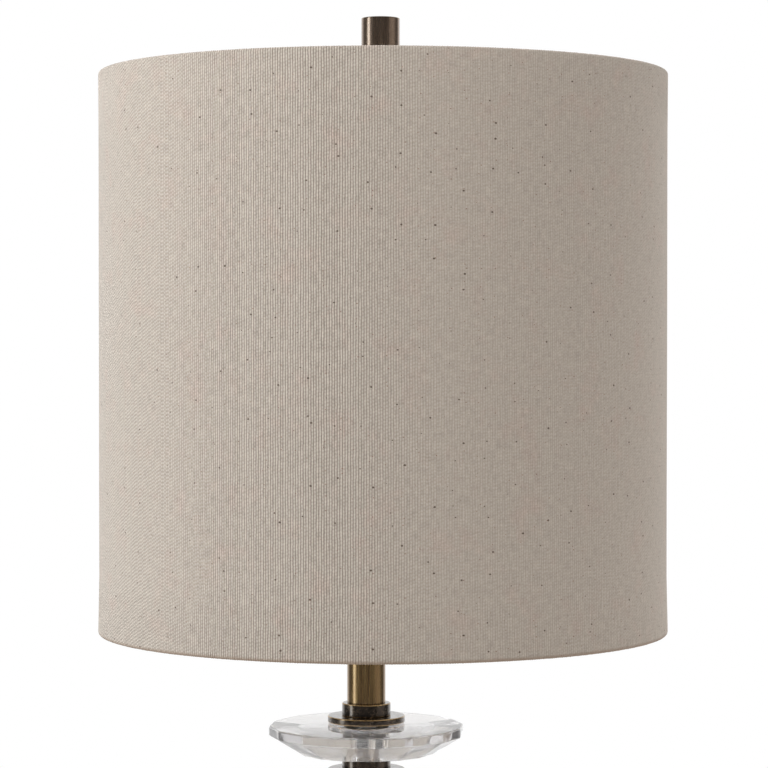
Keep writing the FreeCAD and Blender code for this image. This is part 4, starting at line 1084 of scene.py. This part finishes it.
def paper_material(settings):
    """Pale seamless paper that fades into the white backdrop away from the lamp."""
    fade_start, fade_end = 0.35, 1.3     # metres from the stem
    tree, shader = new_material(PAPER, Roughness=0.8)
    grain = add(tree, "TexNoise", {"Vector": place_of(tree, 2), "Scale": 1.0, "Detail": 3.0})
    tone = add(tree, "MapRange", {"Value": grain, **SPREAD, "To Min": 0.985, "To Max": 1.0})
    paper = add(tree, "VectorMath", {0: settings.floor[:3], "Scale": tone}, operation="SCALE")
    wire(shader, {"Base Color": paper})
    away = add(tree, "VectorMath", {0: add(tree, "TexCoord").node.outputs["Object"]},
               operation="LENGTH").node.outputs["Value"]
    fade = add(tree, "MapRange", {
        "Value": away, "From Min": fade_start, "From Max": fade_end},
        interpolation_type="SMOOTHSTEP")
    ray = add(tree, "LightPath").node.outputs
    seen = add(tree, "Math", {0: ray["Is Camera Ray"], 1: ray["Is Glossy Ray"]},
               operation="MAXIMUM")
    seen = add(tree, "Math", {0: seen, 1: ray["Is Transmission Ray"]}, operation="MAXIMUM")
    share = add(tree, "Math", {0: fade, 1: seen}, operation="MULTIPLY")
    white = add(tree, "Emission", {"Color": WHITE, "Strength": 1.0})
    mixed = add(tree, "MixShader", {"Fac": share, 1: shader.outputs[0], 2: white})
    output = next(node for node in tree.nodes if node.bl_idname == "ShaderNodeOutputMaterial")
    wire(output, {"Surface": mixed})


def hang_softbox(name, heading, distance, height, width, rise, radiance, tint, glossy):
    """Hang a rectangular lamp so many degrees to the camera's right, and aim it at the shade."""
    data = bpy.data.lights.new(name, "AREA")
    data.shape = "RECTANGLE"
    data.size, data.size_y = width, rise
    data.energy = radiance * math.pi * width * rise
    data.color = tint
    lamp = bpy.data.objects.new(name, data)
    turn = math.radians(heading)
    lamp.location = (math.sin(turn) * distance, -math.cos(turn) * distance, height)
    aim = Vector((0, 0, SHADE_MIDDLE)) - lamp.location
    lamp.rotation_euler = aim.to_track_quat("-Z", "Y").to_euler()
    lamp.visible_camera = False
    lamp.visible_glossy = glossy
    bpy.context.scene.collection.objects.link(lamp)


class LAMP_OT_stage(bpy.types.Operator):
    """Set up the camera, the lights and the floor"""

    bl_idname = "lamp.stage"
    bl_label = "Stage"

    def execute(self, context):
        scene = context.scene
        settings = scene.lamp_stage
        data = bpy.data.cameras.new("Camera")
        data.lens = settings.camera_lens
        data.clip_start, data.clip_end = CLIP
        camera = bpy.data.objects.new("Camera", data)
        camera.location = (settings.camera_side, -settings.camera_distance,
                           settings.camera_height)
        camera.rotation_euler = (math.pi / 2 - settings.camera_pitch, 0, 0)
        scene.collection.objects.link(camera)
        scene.camera = camera
        scene.view_settings.view_transform = "Standard"

        paint_world(settings)
        cool, neutral, warm = (0.84, 0.93, 1.0), (1, 1, 1), (1.0, 0.96, 0.92)
        # name, heading, distance, height, width, rise, radiance, tint, seen in metal
        for softbox in (
            ("Key softbox", -76, 1.6, 0.65, 0.38, 1.6, settings.key_light, cool, True),
            ("Left wash", -42, 1.3, 1.0, 1.2, 1.2, settings.left_wash, cool, False),
            ("Right softbox", 75, 1.6, 0.65, 1.2, 1.6, settings.right_light, warm, True),
            ("Top softbox", -26, 0.88, 1.38, 0.8, 0.5, settings.top_light, neutral, False),
        ):
            hang_softbox(*softbox)

        paper_material(settings)
        mesh = bmesh.new()
        bmesh.ops.create_circle(mesh, cap_ends=True, segments=96, radius=FLOOR_RADIUS)
        floor_data = bpy.data.meshes.new("Floor")
        mesh.to_mesh(floor_data)
        mesh.free()
        floor_data.materials.append(bpy.data.materials[PAPER])
        floor = bpy.data.objects.new("Floor", floor_data)
        scene.collection.objects.link(floor)
        return {"FINISHED"}


# Add-on

PIECES = (LAMP_OT_finishes, LAMP_OT_linen, LAMP_OT_crystal, LAMP_OT_stem, LAMP_OT_rod,
          LAMP_OT_foot, LAMP_OT_finial, LAMP_OT_bulb, LAMP_OT_stage)
GROUPS = {"lamp_linen": LAMP_PG_linen, "lamp_metal": LAMP_PG_metal,
          "lamp_glass": LAMP_PG_glass, "lamp_stage": LAMP_PG_stage}


class LAMP_PT_pieces(bpy.types.Panel):
    """The lamp's pieces and their settings"""

    bl_idname = "LAMP_PT_pieces"
    bl_label = "Candlestick lamp"
    bl_space_type = "VIEW_3D"
    bl_region_type = "UI"
    bl_category = "Lamp"

    def draw(self, context):
        column = self.layout.column()
        for operator in PIECES:
            column.operator(operator.bl_idname)
        for name, group in GROUPS.items():
            box = column.box()
            for setting in group.__annotations__:
                box.prop(getattr(context.scene, name), setting)


def register():
    """Register the settings, the operators and the panel."""
    for group in (*GROUPS.values(), *PIECES, LAMP_PT_pieces):
        bpy.utils.register_class(group)
    for name, group in GROUPS.items():
        setattr(bpy.types.Scene, name, PointerProperty(type=group))


def unregister():
    """Undo what register did."""
    for name in GROUPS:
        delattr(bpy.types.Scene, name)
    for group in (LAMP_PT_pieces, *reversed(PIECES), *GROUPS.values()):
        bpy.utils.unregister_class(group)


def main():
    """Build the lamp and its stage."""
    register()
    bpy.ops.lamp.finishes()
    bpy.ops.lamp.linen()
    bpy.ops.lamp.crystal()
    bpy.ops.lamp.stem()
    bpy.ops.lamp.rod()
    bpy.ops.lamp.foot()
    bpy.ops.lamp.finial()
    bpy.ops.lamp.bulb()
    bpy.ops.lamp.stage()
    bpy.context.view_layer.update()


if __name__ == "__main__":
    main()
